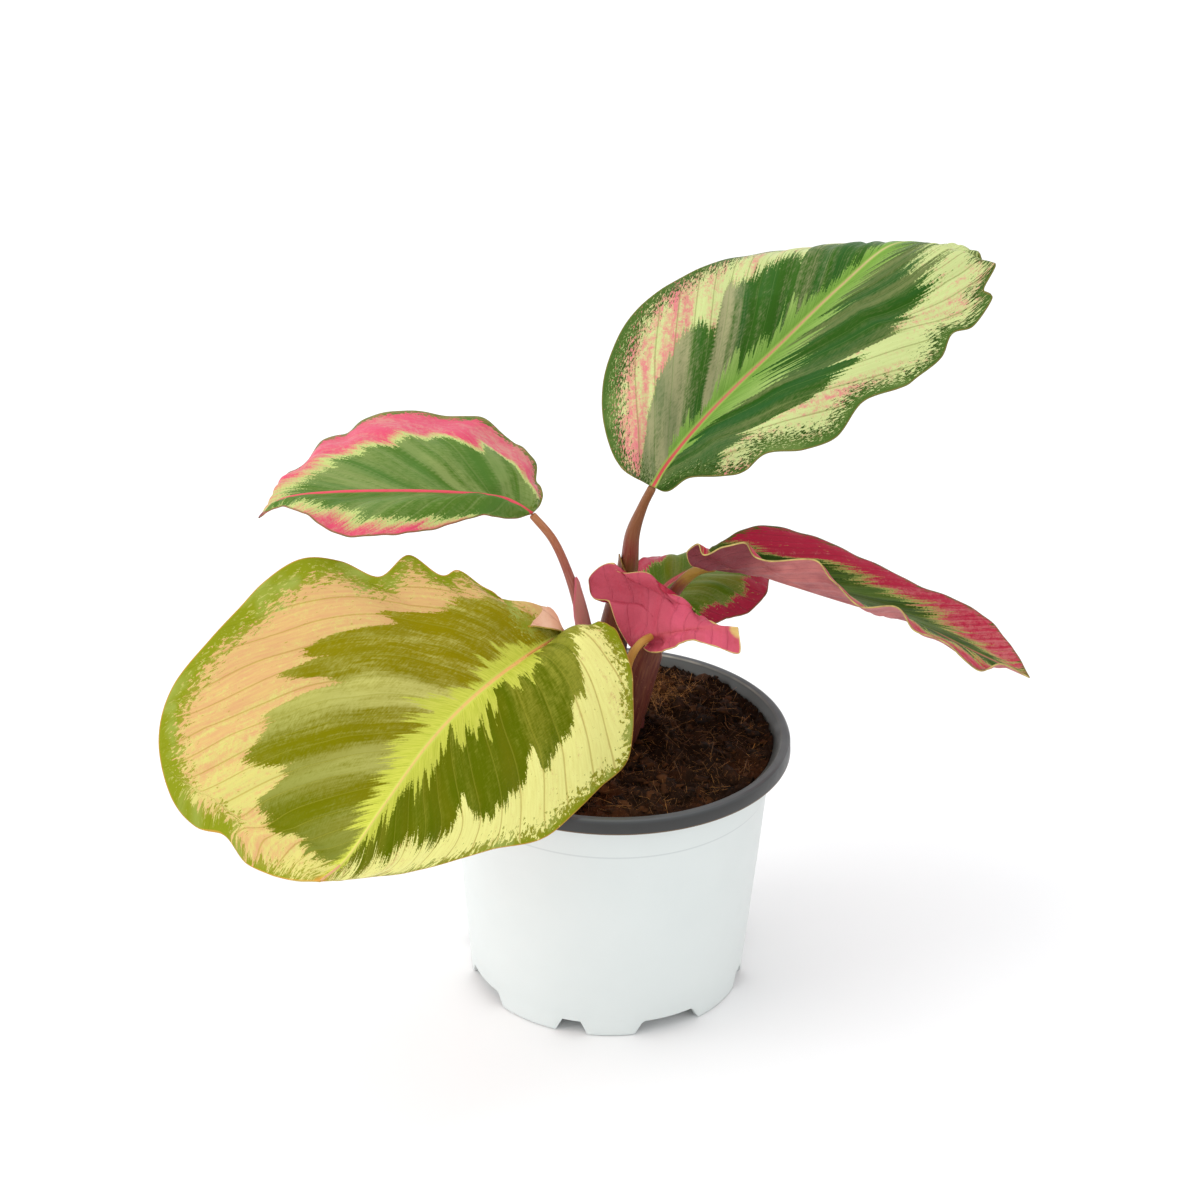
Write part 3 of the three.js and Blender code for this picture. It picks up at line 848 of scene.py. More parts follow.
# %% [markdown]
# Two straws longer than the other fibres lie in view, one near the front and one along the wall on
# the right. A tuft of moss grows at the front. Such strays make the soil look used.

# %% Straws and moss
STRAWS = [((11.8, -29.8), (20.2, -26.4)), ((45.4, -11.0), (50.6, 8.0))]
SPRIGS = 60

straws = []
for number, (start, end) in enumerate(STRAWS):
    run = math.dist(start, end)
    x, y = (start[0] + end[0]) / 2, (start[1] + end[1]) / 2
    turn = math.atan2(end[1] - start[1], end[0] - start[0])
    place = (x, y, soil_height(x, y) + 0.9)
    sizes = (run, run * 0.7, run * 0.3)
    straw_model = fibre_models[2 + number]
    straws.append(placed_copy("soil_straws", straw_model, place, turn, -0.05, sizes, 1.0))
join_copies("soil_straws", straws)


def moss_finish():
    moss = Finish("moss", roughness=0.7, specular=0.2)
    place = moss.place()
    colour = moss.mix(moss.field("shade"), paint(48, 66, 8), paint(96, 122, 22))
    colour = moss.mix(moss.noise(place, 1200, 4), colour, paint(66, 60, 16))
    return moss.done(colour, normal=moss.bump(moss.noise(place, 2500, 3), 0.5, 0.0003))


MOSS = moss_finish()
sprigs = []
for _ in range(SPRIGS):
    x, y = chance.gauss(8.5, 2.2), chance.gauss(-30.5, 1.1)
    length = chance.uniform(0.8, 2.0)
    place = (x, y, soil_height(x, y) + 0.3 * length)
    sprigs.append(placed_copy(
        "soil_moss", chance.choice(fibre_models), place, any_turn(),
        chance.uniform(-1.3, -0.3), (length, length, length), chance.random(),
    ))
    sprigs[-1].data.materials[0] = MOSS
join_copies("soil_moss", sprigs)
for model in crumb_models + fibre_models:
    bpy.data.objects.remove(model)

# %% [markdown]
# Every leaf was built over guide lines: its midrib, its left and right margins and the route of its
# stalk. The blades here are laid over the same lines, in mm, so that they stay where the model has
# them. Midrib and margins all run from the base of the blade to its tip, so the lists below hold only
# the points between. rise is how far each half stands above the straight line from midrib to
# margin, and sweep is how far the side veins lean back. rib is the depth of the keel under the
# midrib. fold dips one side: which side, where along it, how long, and by how much. girth is half
# the width of the stalk at even steps.

# %% Guide lines of the leaves
GUIDES = {
    "upper_right": {
        "base": (11.5, 5, 178), "tip": (122, 98, 212),
        "midrib": [
            (17.5, 11, 186), (31.5, 24, 198.5), (51, 37, 214), (71, 48, 231), (89, 57, 243.5),
            (106, 76, 235),
        ],
        "left": [
            (1.5, 10, 182), (-3.5, 16, 190), (-5.5, 25, 199.5), (-3.5, 33, 210.5), (4, 43, 222.5),
            (19, 54, 231), (40, 66, 235), (72, 88, 229), (100, 102, 219),
        ],
        "right": [
            (16.5, 4, 177), (23.5, 4, 182), (34.5, 4, 183), (41.5, 5, 184.5), (48, 6, 190.5),
            (60, 8, 191), (70, 9, 195), (78.5, 14, 205.5), (90, 16, 209.5), (95.5, 18, 212.5),
            (103.5, 21, 218.5), (106.5, 24, 225.5), (113.5, 26, 227.5), (119.5, 31, 235.5),
            (117, 34, 237), (121, 40, 243.6), (117.2, 43.5, 242.2), (116, 48, 245), (117, 66, 232),
            (120, 84, 220),
        ],
        "rise": [(0, 0), (4, 2), (6, 3), (5, 3), (2, 2), (0, 1), (0, 0)],
        "sweep": (14, 16), "rib": 1.5,
        "stalk": [
            (1, 8, 68), (-0.5, 8, 97.5), (-0.5, 9, 118), (1.5, 10, 132), (4.5, 12, 145),
            (5.5, 11, 158), (8.5, 8, 169.5), (11.5, 5, 178),
        ],
        "girth": [3.2, 4.3, 4.5, 4, 3.1, 2.4, 1.6, 1.4],
    },
    "lower_left": {
        "base": (-14.5, -15, 134.5), "tip": (-85, -131, 111.5),
        "midrib": [
            (-25, -31, 136.5), (-41.5, -57, 135.5), (-55, -81, 131.5), (-67.5, -105, 123),
            (-77.5, -122, 114.5),
        ],
        "left": [
            (-7, -13, 137), (-2.5, -13, 137.5), (2.5, -17, 133.5), (6.5, -24, 121),
            (5.5, -35, 100.5), (-3.5, -48, 96.5), (-20, -72, 92.5), (-37, -88, 97),
            (-57.5, -101, 97.5), (-75, -113, 101.5),
        ],
        "right": [
            (-19, -23, 140), (-25, -27, 143), (-30.5, -30, 145.5), (-36.5, -27, 153),
            (-42, -26, 156.5), (-49.5, -28, 163), (-55, -32, 163), (-65, -30, 169), (-74, -38, 165),
            (-86, -36, 169.5), (-98, -42, 172.5), (-109, -48, 167), (-117, -52, 159),
            (-124.5, -60, 153), (-135.5, -66, 140), (-139, -76, 126.5), (-134.5, -87, 113.5),
            (-126.5, -92, 105.5), (-117, -98, 106.5), (-109.5, -104, 100), (-97.5, -117, 103.5),
        ],
        "rise": [(0, 0), (2, 3), (4, 5), (6, 6), (6, 6), (4, 4), (0, 0)],
        "sweep": (10, 14), "rib": 1.5, "fold": ("right", 0.12, 0.075, (0, 8, 4.5)),
        "stalk": [
            (-6, -8, 68), (-6, -9, 100), (-8, -11, 120), (-10.5, -12, 129.5), (-14.5, -15, 134.5),
        ],
        "girth": [3, 3.2, 2.6, 1.9, 1.6],
    },
    "upper_left": {
        "base": (-27.5, 6, 167), "tip": (-113, -20, 176),
        "midrib": [
            (-37.5, 2, 173.5), (-53.5, -4, 178), (-72, -9, 180.5), (-91, -13, 181.5),
            (-105, -17, 181),
        ],
        "left": [
            (-33.5, -2, 169), (-43.5, -14, 175.5), (-57, -24, 175.5), (-70.5, -31, 176.5),
            (-86, -34, 177.5), (-97, -30, 182.5), (-106, -22, 181),
        ],
        "right": [
            (-24.5, 10, 169), (-24.5, 16, 171.5), (-26.5, 20, 173), (-26.5, 25, 176.5),
            (-31, 30, 179.5), (-36.5, 33, 182), (-45.5, 37, 187.5), (-56.5, 38, 187),
            (-70.5, 38, 189), (-83, 35, 187), (-89.5, 29, 184), (-97, 25, 183), (-102, 14, 179),
            (-107, 8, 178.5), (-109.5, -8, 176.5),
        ],
        "rise": [(0, 0), (3, 3), (5, 5), (4.6, 6), (3, 5), (1.2, 3), (0, 0)],
        "sweep": (6, 6), "rib": 1.2,
        "stalk": [
            (-7, 3, 68), (-6.9, 3.7, 100), (-8.2, 4, 116.5), (-11, 4, 132.5), (-15.5, 4, 147.5),
            (-20.5, 5, 158.5), (-27.5, 6, 167),
        ],
        "girth": [2.8, 2.9, 2.5, 2, 1.5, 1.4, 1.25],
    },
    "centre_curled": {
        "base": (12.5, -8, 130.5), "tip": (39.5, -26, 143.5),
        "midrib": [(16.5, -11, 133), (21.5, -15, 136), (27.5, -19, 139), (34, -23, 142)],
        "left": [
            (10, -8, 126), (13.5, -14, 127.5), (19, -18, 131.5), (24.5, -22, 136.5),
            (32.5, -27, 137), (40, -30, 136.5),
        ],
        "right": [
            (6.5, -6, 125), (1.5, -4, 131.5), (-2, -1, 139), (-7, 3, 138.5), (-8.5, 6, 143.5),
            (-5.5, 6, 148), (-1, 5, 150.5), (2, 3, 148), (10.5, 0, 149.5), (15.5, -3, 144.5),
            (22, -6, 143.5), (27, -11, 140), (32.5, -18, 140.5), (38.5, -25, 139.5),
        ],
        "rise": [(0, 0), (2, 5), (-1, 6), (-1, 5), (0, 2), (0, 0)],
        "sweep": (0, 0), "rib": 0.9,
        "stalk": [
            (2, -9.5, 68), (1.5, -10, 95), (4, -12, 118), (6, -13, 126), (9, -12.5, 130.5),
            (12.3, -8.8, 130.9),
        ],
        "girth": [1.8, 1.9, 1.7, 1.4, 1.3, 1.2],
    },
    "right_folded": {
        "base": (33, 3, 150.5), "tip": (137, -6, 117),
        "midrib": [
            (42.5, 4, 149.5), (57.5, 4, 144.5), (77.5, 4, 138), (99.5, 2, 132), (119, -2, 124),
        ],
        "left": [
            (30.5, 8, 150.5), (30.5, 14, 151), (35.5, 20, 152), (47, 28, 154), (64, 34, 148.5),
            (82.5, 35, 140), (103, 31, 131.5), (121, 22, 127.5), (131.5, 10, 121.5),
        ],
        "right": [
            (28, 1, 151.5), (24.5, -1, 153), (23, -3, 159), (26.5, -6, 163), (28.5, -8, 160.5),
            (34, -10, 164), (41, -12, 167), (45, -13, 162), (53.5, -15, 162.5), (63.5, -18, 164),
            (69.5, -19, 157.5), (78.5, -20, 149), (89.5, -21, 150), (96, -21, 141.5),
            (104.5, -20, 138), (112.5, -17, 130), (119.5, -14, 123.5), (127, -10, 124),
        ],
        "rise": [(0, 0), (-3, -1), (-5, -1), (-5, -1), (-4, -1), (-3, -1), (0, 0)],
        "sweep": (8, 5), "rib": 1.2,
        "stalk": [
            (1, -3, 68), (3.5, -1, 86.5), (7, 0, 102.5), (10.5, 2, 118), (15, 4, 130.5),
            (19.5, 5, 140), (23.5, 5, 145.5), (27.5, 4, 149), (33, 3, 150.5),
        ],
        "girth": [3.2, 4, 4.8, 4.9, 2.9, 2.1, 1.9, 1.6, 1.25],
    },
    "back": {
        "base": (12.5, 20, 129.5), "tip": (51.5, 66, 124.5),
        "midrib": [(18, 28, 132), (25.5, 37, 132.5), (35.5, 47, 131), (45, 58, 128)],
        "left": [
            (6, 26, 129.5), (4.5, 35, 131.5), (9, 43, 133.5), (15, 48, 132), (20.5, 52, 129.5),
            (26, 60, 128.5), (36, 68, 125.5), (46, 72, 124),
        ],
        "right": [
            (16.5, 15, 125.5), (25.5, 13, 122), (34, 16, 123.5), (38.5, 19, 124), (45, 23, 124),
            (51, 31, 126.5), (52.5, 38, 127.5), (53, 51, 127),
        ],
        "rise": [(0, 0), (2, 3), (3, 4), (2, 3), (0, 0)],
        "sweep": (4, 4), "rib": 1,
        "stalk": [(9, 6, 68), (9, 10, 100), (9.5, 15, 122), (12.3, 19.8, 129.3)],
        "girth": [2.4, 2, 1.6, 1.3],
    },
}

for guide in GUIDES.values():
    for line in ("midrib", "left", "right"):
        guide[line] = [guide["base"], *guide[line], guide["tip"]]
print("leaves with guide lines:", len(GUIDES))

# %% [markdown]
# A smooth curve is drawn through the points of a guide line. It passes through every point, and a
# place on it is asked for by a share, from 0 at its start to 1 at its end.

# %% Smooth lines
def along_line(points, places):
    """A smooth line through points, read at places from 0 to 1."""
    points = np.asarray(points, float)
    if points.ndim == 1:
        points = points[:, None]
    ends = [2 * points[0] - points[1]], [2 * points[-1] - points[-2]]
    knots = np.vstack([ends[0], points, ends[1]])
    steps = np.clip(places, 0, 1) * (len(points) - 1)
    first = np.minimum(steps.astype(int), len(points) - 2)
    f = (steps - first)[..., None]
    a, b, c, d = (knots[first + i] for i in range(4))
    return 0.5 * (2 * b + (c - a) * f + (2 * a - 5 * b + 4 * c - d) * f**2
                  + (3 * b - a - 3 * c + d) * f**3)


def unit(vectors):
    return vectors / np.maximum(np.linalg.norm(vectors, axis=-1, keepdims=True), 1e-9)


def direction(points, places, step):
    """Which way a smooth line runs at the given places."""
    ahead = along_line(points, np.clip(places + step, 0, 1))
    behind = along_line(points, np.clip(places - step, 0, 1))
    return unit(ahead - behind)


def line_length(points):
    line = along_line(points, np.linspace(0, 1, 300))
    return np.linalg.norm(np.diff(line, axis=0), axis=1).sum()


for name, guide in GUIDES.items():
    print(name, "midrib", round(line_length(guide["midrib"])), "mm")

# %% [markdown]
# A blade is a sheet about half a millimetre thick. It starts as a flat grid, and each point of the
# grid is moved to its place: s runs from the stalk to the tip and t from the right margin, -1, over
# the midrib to the left margin, 1.

# %% Where the points of a blade go
def blade_place(guide, s, t):
    """Where the blade's middle surface is, and which way is up there, in mm."""
    on_left = (t >= 0)[..., None]
    reach = np.abs(t)[..., None]
    middle = along_line(guide["midrib"], s)
    along = direction(guide["midrib"], s, 0.0005)
    margin = np.where(on_left, along_line(guide["left"], s), along_line(guide["right"], s))
    across = margin - middle
    up = unit(np.cross(along, across)) * np.where(on_left, 1, -1)
    arch = np.sin(np.pi * reach) ** 2
    rise = along_line(guide["rise"], s)
    rise = np.where(on_left[..., 0], rise[..., 0], rise[..., 1])[..., None]
    sweep = np.where(on_left, *guide["sweep"]) * np.sin(np.pi * s)[..., None]
    place = middle + across * reach + up * rise * arch - along * 0.5 * sweep * arch
    if "fold" in guide:
        side, at, length, by = guide["fold"]
        here = np.exp(-(((s - at) / length) ** 2)) * np.clip(s / length, 0, 1)
        here = here * (on_left[..., 0] == (side == "left"))
        place = place + np.array(by) * here[..., None] * arch
    return place, up


print("the base of the large leaf, in mm:", GUIDES["lower_left"]["base"])

# %% [markdown]
# The side veins don't leave the midrib at a right angle. They lean towards the tip, more and more
# the farther from the stalk they start, and the whole pattern leans with them. Every point
# therefore keeps its lane: the place along the midrib, in mm, where its vein starts. It also keeps
# how far it lies from stalk, midrib and margin, and how far the pattern reaches in its lane.

# %% Lanes and pattern of a blade
PATTERN = ("heart", "feather", "painted_sheen", "blush", "rim")
BEYOND = 60  # mm by which the midrib's line is lengthened at both ends, for lanes that start there


def nearest_on(line, points):
    """How far along a line the nearest place to each point is, and how far away it is, in mm."""
    steps = np.linalg.norm(np.diff(line, axis=0), axis=1)
    length = np.concatenate([[0], np.cumsum(steps)])
    along = unit(np.gradient(line, axis=0))
    places, distances = [], []
    for part in np.array_split(points, 60):
        nearest = np.linalg.norm(part[:, None] - line[None], axis=2).argmin(axis=1)
        offset = part - line[nearest]
        ahead = (offset * along[nearest]).sum(axis=1)
        places.append(length[nearest] + ahead)
        distances.append(np.linalg.norm(offset - along[nearest] * ahead[:, None], axis=1))
    return np.concatenate(places), np.concatenate(distances)


def by_lane(table, lanes):
    """Reads (lane, value) pairs at each lane. Both are in mm, or the value is a share."""
    places, values = np.array(table, float).T
    return np.interp(lanes, places, values)


def from_stalk_and_midrib(guide, place):
    """How far each point lies along the midrib and to its side, in mm."""
    line = along_line(guide["midrib"], np.linspace(0, 1, 400))
    behind = line[0] + unit(line[0] - line[4]) * np.arange(BEYOND, 0, -0.5)[:, None]
    before = line[-1] + unit(line[-1] - line[-5]) * np.arange(0.5, BEYOND, 0.5)[:, None]
    from_stalk, from_midrib = nearest_on(np.vstack([behind, line, before]), place)
    return from_stalk - BEYOND, from_midrib


def pattern_fields(guide, look, s, t, place):
    """All that the finishes need to know at each point, as named lists of numbers."""
    from_stalk, from_midrib = from_stalk_and_midrib(guide, place)
    fields = {key: np.zeros(len(s)) for key in ("lane", "to_margin", *PATTERN)}
    for side, here in (("left", t >= 0), ("right", t < 0)):
        lean, more = look[side]["lean"]
        far = from_midrib[here]
        fields["lane"][here] = (from_stalk[here] - lean * far) / (1 + more * far)
        margin = along_line(guide[side], np.linspace(0, 1, 500))
        fields["to_margin"][here] = nearest_on(margin, place[here])[1]
        for key in PATTERN:
            rule = 100 * s if key == "rim" else fields["lane"]
            fields[key][here] = by_lane(look[side][key], rule[here])
    fields["along"] = from_stalk
    fields["across"] = from_midrib * np.where(t < 0, -1, 1)
    return fields


print("pattern kept for each point:", ", ".join(PATTERN))

# %% [markdown]
# Between the side veins the sheet bulges a little, its margins ripple, and under the midrib runs a
# keel. The cells of the grid are narrower near the midrib, so that the keel is round. Solidify gives
# the sheet its thickness and hands the second finish to its underside and the third to its edge.

# %% Blade builder
BLADE_THICKNESS = 0.45
CROWDING = 1.3  # above 1, the cells crowd at the midrib
KEEL_WIDTH = 1.3


def relief(guide, look, s, t, fields):
    """How far each point stands above the smooth sheet, in mm."""
    reach = np.abs(t)
    side = np.where(t < 0, 1.7, 0.0)
    ends = np.clip(12 * s * (1 - s), 0, 1)
    bulge = np.abs(np.sin(np.pi * (fields["lane"] / look["bulge_every"] + 0.25 * side))) - 0.5
    ripple = np.sin(s * 61 + side) + 0.6 * np.sin(s * 113 + 2.1 * side)
    lift = look["bulge"] * bulge * 4 * reach * (1 - reach) + look["ripple"] * ripple * reach**5
    keel = look["keel"] * guide["rib"] * (1 - 0.75 * s)
    keel = keel * np.exp(-((fields["across"] / KEEL_WIDTH) ** 2))
    return (lift - keel) * ends


def build_blade(name, cells_along, cells_across, look):
    guide = GUIDES[name]
    pick()
    bpy.ops.mesh.primitive_grid_add(
        x_subdivisions=cells_along, y_subdivisions=cells_across, size=2
    )
    blade = added(f"blade_{name}")
    flat = read_points(blade)
    s = (flat[:, 0] + 1) / 2
    t = np.sign(flat[:, 1]) * np.abs(flat[:, 1]) ** CROWDING
    place, up = blade_place(guide, s, t)
    fields = pattern_fields(guide, look, s, t, place)
    place = place + up * relief(guide, look, s, t, fields)[:, None]
    fields["to_tip"] = np.linalg.norm(place - np.array(guide["tip"], float), axis=1)
    place_points(blade, place * MM)
    for key, values in fields.items():
        write_field(blade, key, values)
    close_mesh(blade)
    for finish in look["finishes"]:
        blade.data.materials.append(finish)
    apply_modifier(
        blade, "SOLIDIFY", thickness=BLADE_THICKNESS * MM, offset=-0.5,
        material_offset=1, material_offset_rim=2,
    )
    smooth(blade)
    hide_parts(f"leaf_{name}")
    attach(blade, "root")
    print(blade.name, "faces:", len(blade.data.polygons))


print("blade thickness in mm:", BLADE_THICKNESS)

# %% [markdown]
# The pattern of this plant is painted by its growth: a dark heart, a bright feather along the
# midrib, a pale band with a blush of pink, and a dark speckled rim. Every edge between them is
# torn along the side veins. So all the noise here is stretched along the veins, and whole strips
# between two veins step in and out by chance. All six leaves share one recipe. Only the colours
# and sizes differ. It starts with what all its steps read: the lanes, the noises and the veins.

# %% Measures and noises of an upper face
LANE_START = 200.0  # keeps every lane above zero, so that strips can be numbered
OTHER_HALF = 300.0  # sets the right half's lanes apart, so that the halves don't mirror
PALE_SHINE = (1.0, 0.98, 0.6, 1.0)
FACE_ROUGHNESS = 0.42


class LeafFace(Finish):
    """The upper face of one leaf, before its pattern is painted on."""

    def __init__(self, name, colours, strip, tear, jump, speckle, midrib, speck_mm=1.2, seed=0.0):
        super().__init__(name, FACE_ROUGHNESS, colours.get("specular", 0.12))
        self.shader.inputs["Specular Tint"].default_value = PALE_SHINE
        self.colours = colours
        self.tear, self.jump, self.speckle = tear, jump, speckle
        self.midrib, self.speck_mm, self.seed = midrib, speck_mm, seed
        self.along = self.field("along")
        self.across = self.field("across")
        self.far = self.size_of(self.across)
        self.to_margin = self.field("to_margin")
        self.right_half = self.maths("LESS_THAN", self.across, 0.0)
        lane = self.plus(self.field("lane"), self.times(self.right_half, OTHER_HALF))
        self.lane = self.plus(lane, seed + LANE_START)

        self.fine = self.streaks(1.3, 0.13, 4, 0.65)
        self.broad = self.streaks(0.24, 0.05, 2, 0.5, 5.0)
        self.specks = self.streaks(1.0 / speck_mm, 0.65 / speck_mm, 4, 0.72, 2.0)
        self.ragged = self.patches(1.5, 5, 0.75, 4.0)
        self.mottle = self.patches(0.5, 5, 0.7)

        strip_number = self.maths("DIVIDE", self.lane, strip)
        self.strip_chance = self.chance(strip_number)
        self.third_chance = self.chance(self.maths("MULTIPLY_ADD", strip_number, 3.0, 17.0))
        self.vein_step = self.maths("FRACT", strip_number)
        from_middle = self.size_of(self.minus(self.vein_step, 0.5))
        from_vein = self.times(self.minus(0.5, from_middle), strip)
        self.vein = self.fade(from_vein, 0.1, 0.36)

    def streaks(self, per_mm, along_vein, detail, rough, layer=0.0):
        """Noise that is fine across the veins and long along them."""
        place = self.vector(self.times(self.lane, per_mm), self.times(self.far, along_vein), layer)
        return self.noise(place, 1.0, detail, rough)

    def patches(self, per_mm, detail, rough=0.55, layer=0.0):
        """Noise that is even in all directions."""
        place = self.vector(self.along, self.across, self.seed + layer)
        return self.noise(place, per_mm, detail, rough)

    def pushed(self, start, *pushes):
        """Moves an edge of the pattern by some noises, each with its reach in mm."""
        for noise_value, reach in pushes:
            start = self.plus(start, self.times(self.minus(noise_value, 0.5), reach))
        return start


print("an upper face knows its lanes, veins and noises")

# %% [markdown]
# The pale band lies under all else. Patches of pink break it up in fine grains, thin veins cross it
# and a few flecks of green lie in it. A green fringe then joins it to the heart.

# %% Band and fringe
def band_colour(leaf):
    band = leaf.colours["band"]
    return leaf.mix(leaf.right_half, band, leaf.colours.get("right_band", band))


def paint_band(leaf):
    colours = leaf.colours
    blush = leaf.pushed(
        leaf.field("blush"), (leaf.streaks(0.3, 0.06, 3, 0.6, 9.0), 2.4), (leaf.mottle, 2.2),
        (leaf.patches(2.6, 3, 0.7, 9.0), 1.6),
    )
    colour = leaf.mix(leaf.edge(blush, 0.0, 1.0), band_colour(leaf), colours["blush"])
    colour = leaf.mix(leaf.span(leaf.fine, 0.4, 0.75, 0.0, 0.5), colour, colours["band_shade"])
    colour = leaf.over(colour, colours["vein"], leaf.vein, colours.get("vein_share", 0.55))
    return leaf.over(colour, colours["fringe"], leaf.edge(leaf.specks, 0.645, 0.66), 0.7)


def heart_edge(leaf):
    """How far inside the heart a place is, in mm. Strips and streaks tear the edge."""
    return leaf.pushed(
        leaf.minus(leaf.field("heart"), leaf.far), (leaf.fine, 4.5 * leaf.tear),
        (leaf.third_chance, 0.7 * leaf.jump), (leaf.strip_chance, 0.5 * leaf.jump),
        (leaf.ragged, 7.0),
    )


def paint_fringe(leaf, colour):
    width = leaf.colours.get("fringe_mm", 0.6)
    fringe = leaf.pushed(heart_edge(leaf), (leaf.broad, width))
    return leaf.mix(leaf.edge(fringe, -width, 0.1), colour, leaf.colours["fringe"])


print("band and fringe ready")

# %% [markdown]
# The heart isn't one green. Lanes that catch the light get a painted sheen: they are painted paler
# and greyer than the lanes between them, broad streaks of another green run along the veins, and the
# veins are lighter.

# %% Heart
def paint_heart(leaf, colour):
    colours = leaf.colours
    hatch = leaf.streaks(0.5, 2.6, 3, 0.6, 12.0)
    painted_sheen = leaf.pushed(
        leaf.field("painted_sheen"), (leaf.broad, 1.1), (leaf.fine, 1.1), (leaf.mottle, 0.8), (hatch, 1.1),
        (leaf.vein_step, 0.15), (leaf.third_chance, 0.12),
    )
    # painted sheen: lanes that catch the light are painted paler and greyer
    light = leaf.edge(painted_sheen, -0.05, 1.05)
    left = leaf.mix(light, colours["heart"], colours["heart_light"])
    right = leaf.mix(light, colours.get("right", colours["heart"]),
                     colours.get("right_light", colours["heart_light"]))
    heart = leaf.mix(leaf.right_half, left, right)
    at_tip = leaf.span(leaf.along, 60.0, 130.0, 0.0, colours.get("tip_share", 0.0))
    heart = leaf.mix(at_tip, heart, colours["heart"])
    tinted = leaf.streaks(0.12, 0.04, 2, 0.5, 14.0)
    tinted = leaf.span(tinted, 0.45, 0.7, 0.0, colours.get("tint_share", 0.5))
    heart = leaf.mix(tinted, heart, colours["tint"])
    heart = leaf.over(heart, colours["heart_vein"], leaf.vein, 0.3)
    return leaf.mix(leaf.edge(heart_edge(leaf), -0.06, 0.12), colour, heart)


print("heart ready")

# %% [markdown]
# The feather is bright on both sides of the midrib, in long thin spikes with frosted ends.

# %% Feather
def paint_feather(leaf, colour):
    colours = leaf.colours
    spikes = leaf.span(leaf.streaks(0.6, 0.07, 4, 0.6, 33.0), 0.36, 0.64, 0.45, 1.3)
    quill = leaf.minus(leaf.times(leaf.field("feather"), spikes), leaf.far)
    quill = leaf.pushed(
        quill, (leaf.third_chance, 0.6 * leaf.jump), (leaf.ragged, 6.0), (leaf.fine, 4.0)
    )
    outwards = leaf.span(leaf.far, 1.0, colours.get("feather_mm", 11.0))
    feather = leaf.mix(outwards, colours["feather"], colours["feather_end"])
    barbs = leaf.span(leaf.streaks(2.2, 0.2, 3, 0.6, 21.0), 0.4, 0.7, 0.0, 0.7)
    feather = leaf.mix(barbs, feather, colours["feather_dark"])
    soft = leaf.times(leaf.right_half, colours.get("feather_soft", 0.0))
    return leaf.mix(leaf.edge(quill, leaf.minus(-0.15, soft), leaf.plus(0.35, soft)), colour, feather)


print("feather ready")

# %% [markdown]
# The rim is dark along the margin and breaks up into specks towards the band. Pale flecks of the
# band show through it, and a painted sheen lies on parts of it.

# %% Speckled rim
def paint_rim(leaf, colour):
    colours = leaf.colours
    inside_rim = leaf.minus(leaf.field("rim"), leaf.to_margin)
    depth = leaf.maths("MULTIPLY_ADD", leaf.mottle, 8.0, leaf.minus(inside_rim, 4.0))
    inside_rim = leaf.pushed(inside_rim, (leaf.specks, 15 * leaf.speckle), (leaf.broad, 3.0))
    rim = leaf.mix(leaf.edge(depth, 0.3, 3.2), colours["rim"], colours["rim_light"])
    # painted sheen: broad patches of the rim are painted paler
    shining = leaf.span(leaf.patches(0.09, 2, layer=30.0), 0.52, 0.7, 0.0, 0.7)
    rim = leaf.mix(shining, rim, colours.get("rim_shine", colours["rim_light"]))
    flecks = leaf.streaks(1.3 / leaf.speck_mm, 0.9 / leaf.speck_mm, 3, 0.7, 51.0)
    inwards = leaf.span(leaf.to_margin, 0.8, 2.6, 0.0, colours.get("rim_flecks", 0.0))
    rim = leaf.over(rim, band_colour(leaf), leaf.edge(flecks, 0.575, 0.6), inwards)
    return leaf.mix(leaf.edge(inside_rim, -0.1, 0.15), colour, rim)


print("rim ready")

# %% [markdown]
# The midrib is broad at the stalk and thin at the tip, with pale borders. The very margin is a fine
# dry line, and the tip of the leaf is dry for a few millimetres.

# %% Midrib, margin and tip
def paint_lines(leaf, colour):
    colours = leaf.colours
    rib_end = colours["rib_mm"]
    rib = leaf.minus(leaf.span(leaf.along, 0.0, rib_end, leaf.midrib, 0.35 * leaf.midrib), leaf.far)
    border = leaf.plus(rib, leaf.span(leaf.along, 0.0, rib_end, 0.6, 0.4))
    rib_colour = leaf.mix(leaf.span(leaf.along, 8.0, rib_end), colours["rib"], colours["rib_tip"])
    colour = leaf.mix(leaf.edge(border, -0.4, 0.3), colour, colours["rib_side"])
    colour = leaf.mix(leaf.edge(rib, -0.25, 0.1), colour, rib_colour)
    colour = leaf.over(colour, colours["line"], leaf.fade(leaf.to_margin, 0.15, 0.5), 0.7)
    dry_tip = leaf.fade(leaf.field("to_tip"), 1.0, 4.5)
    return leaf.over(colour, colours.get("drip", colours["line"]), dry_tip, 0.9)


print("lines ready")

# %% [markdown]
# Now the steps are put together, one over the other, and the skin gets its satin shine: the veins
# lie a little lower, fine cells break the shine, and some patches are smoother than others.

# %% Upper face of a leaf
def upper_face(name, colours, **sizes):
    """The finish of an upper face. sizes are those of LeafFace, in mm."""
    leaf = LeafFace(name, colours, **sizes)
    colour = paint_band(leaf)
    colour = paint_fringe(leaf, colour)
    colour = paint_heart(leaf, colour)
    colour = paint_feather(leaf, colour)
    colour = paint_rim(leaf, colour)
    colour = paint_lines(leaf, colour)

    height = leaf.plus(leaf.times(leaf.vein, -1.0), leaf.times(leaf.fine, 0.8))
    normal = leaf.bump(height, 0.4, 0.0003)
    skin = leaf.cells(leaf.vector(leaf.along, leaf.across, 0.0), 2.6)
    normal = leaf.bump(skin, 0.15, 0.0002, normal)
    rough = leaf.span(leaf.mottle, 0.3, 0.7, FACE_ROUGHNESS - 0.08, FACE_ROUGHNESS + 0.1)
    return leaf.done(colour, rough, normal)


print("the upper face of a leaf has its recipe")

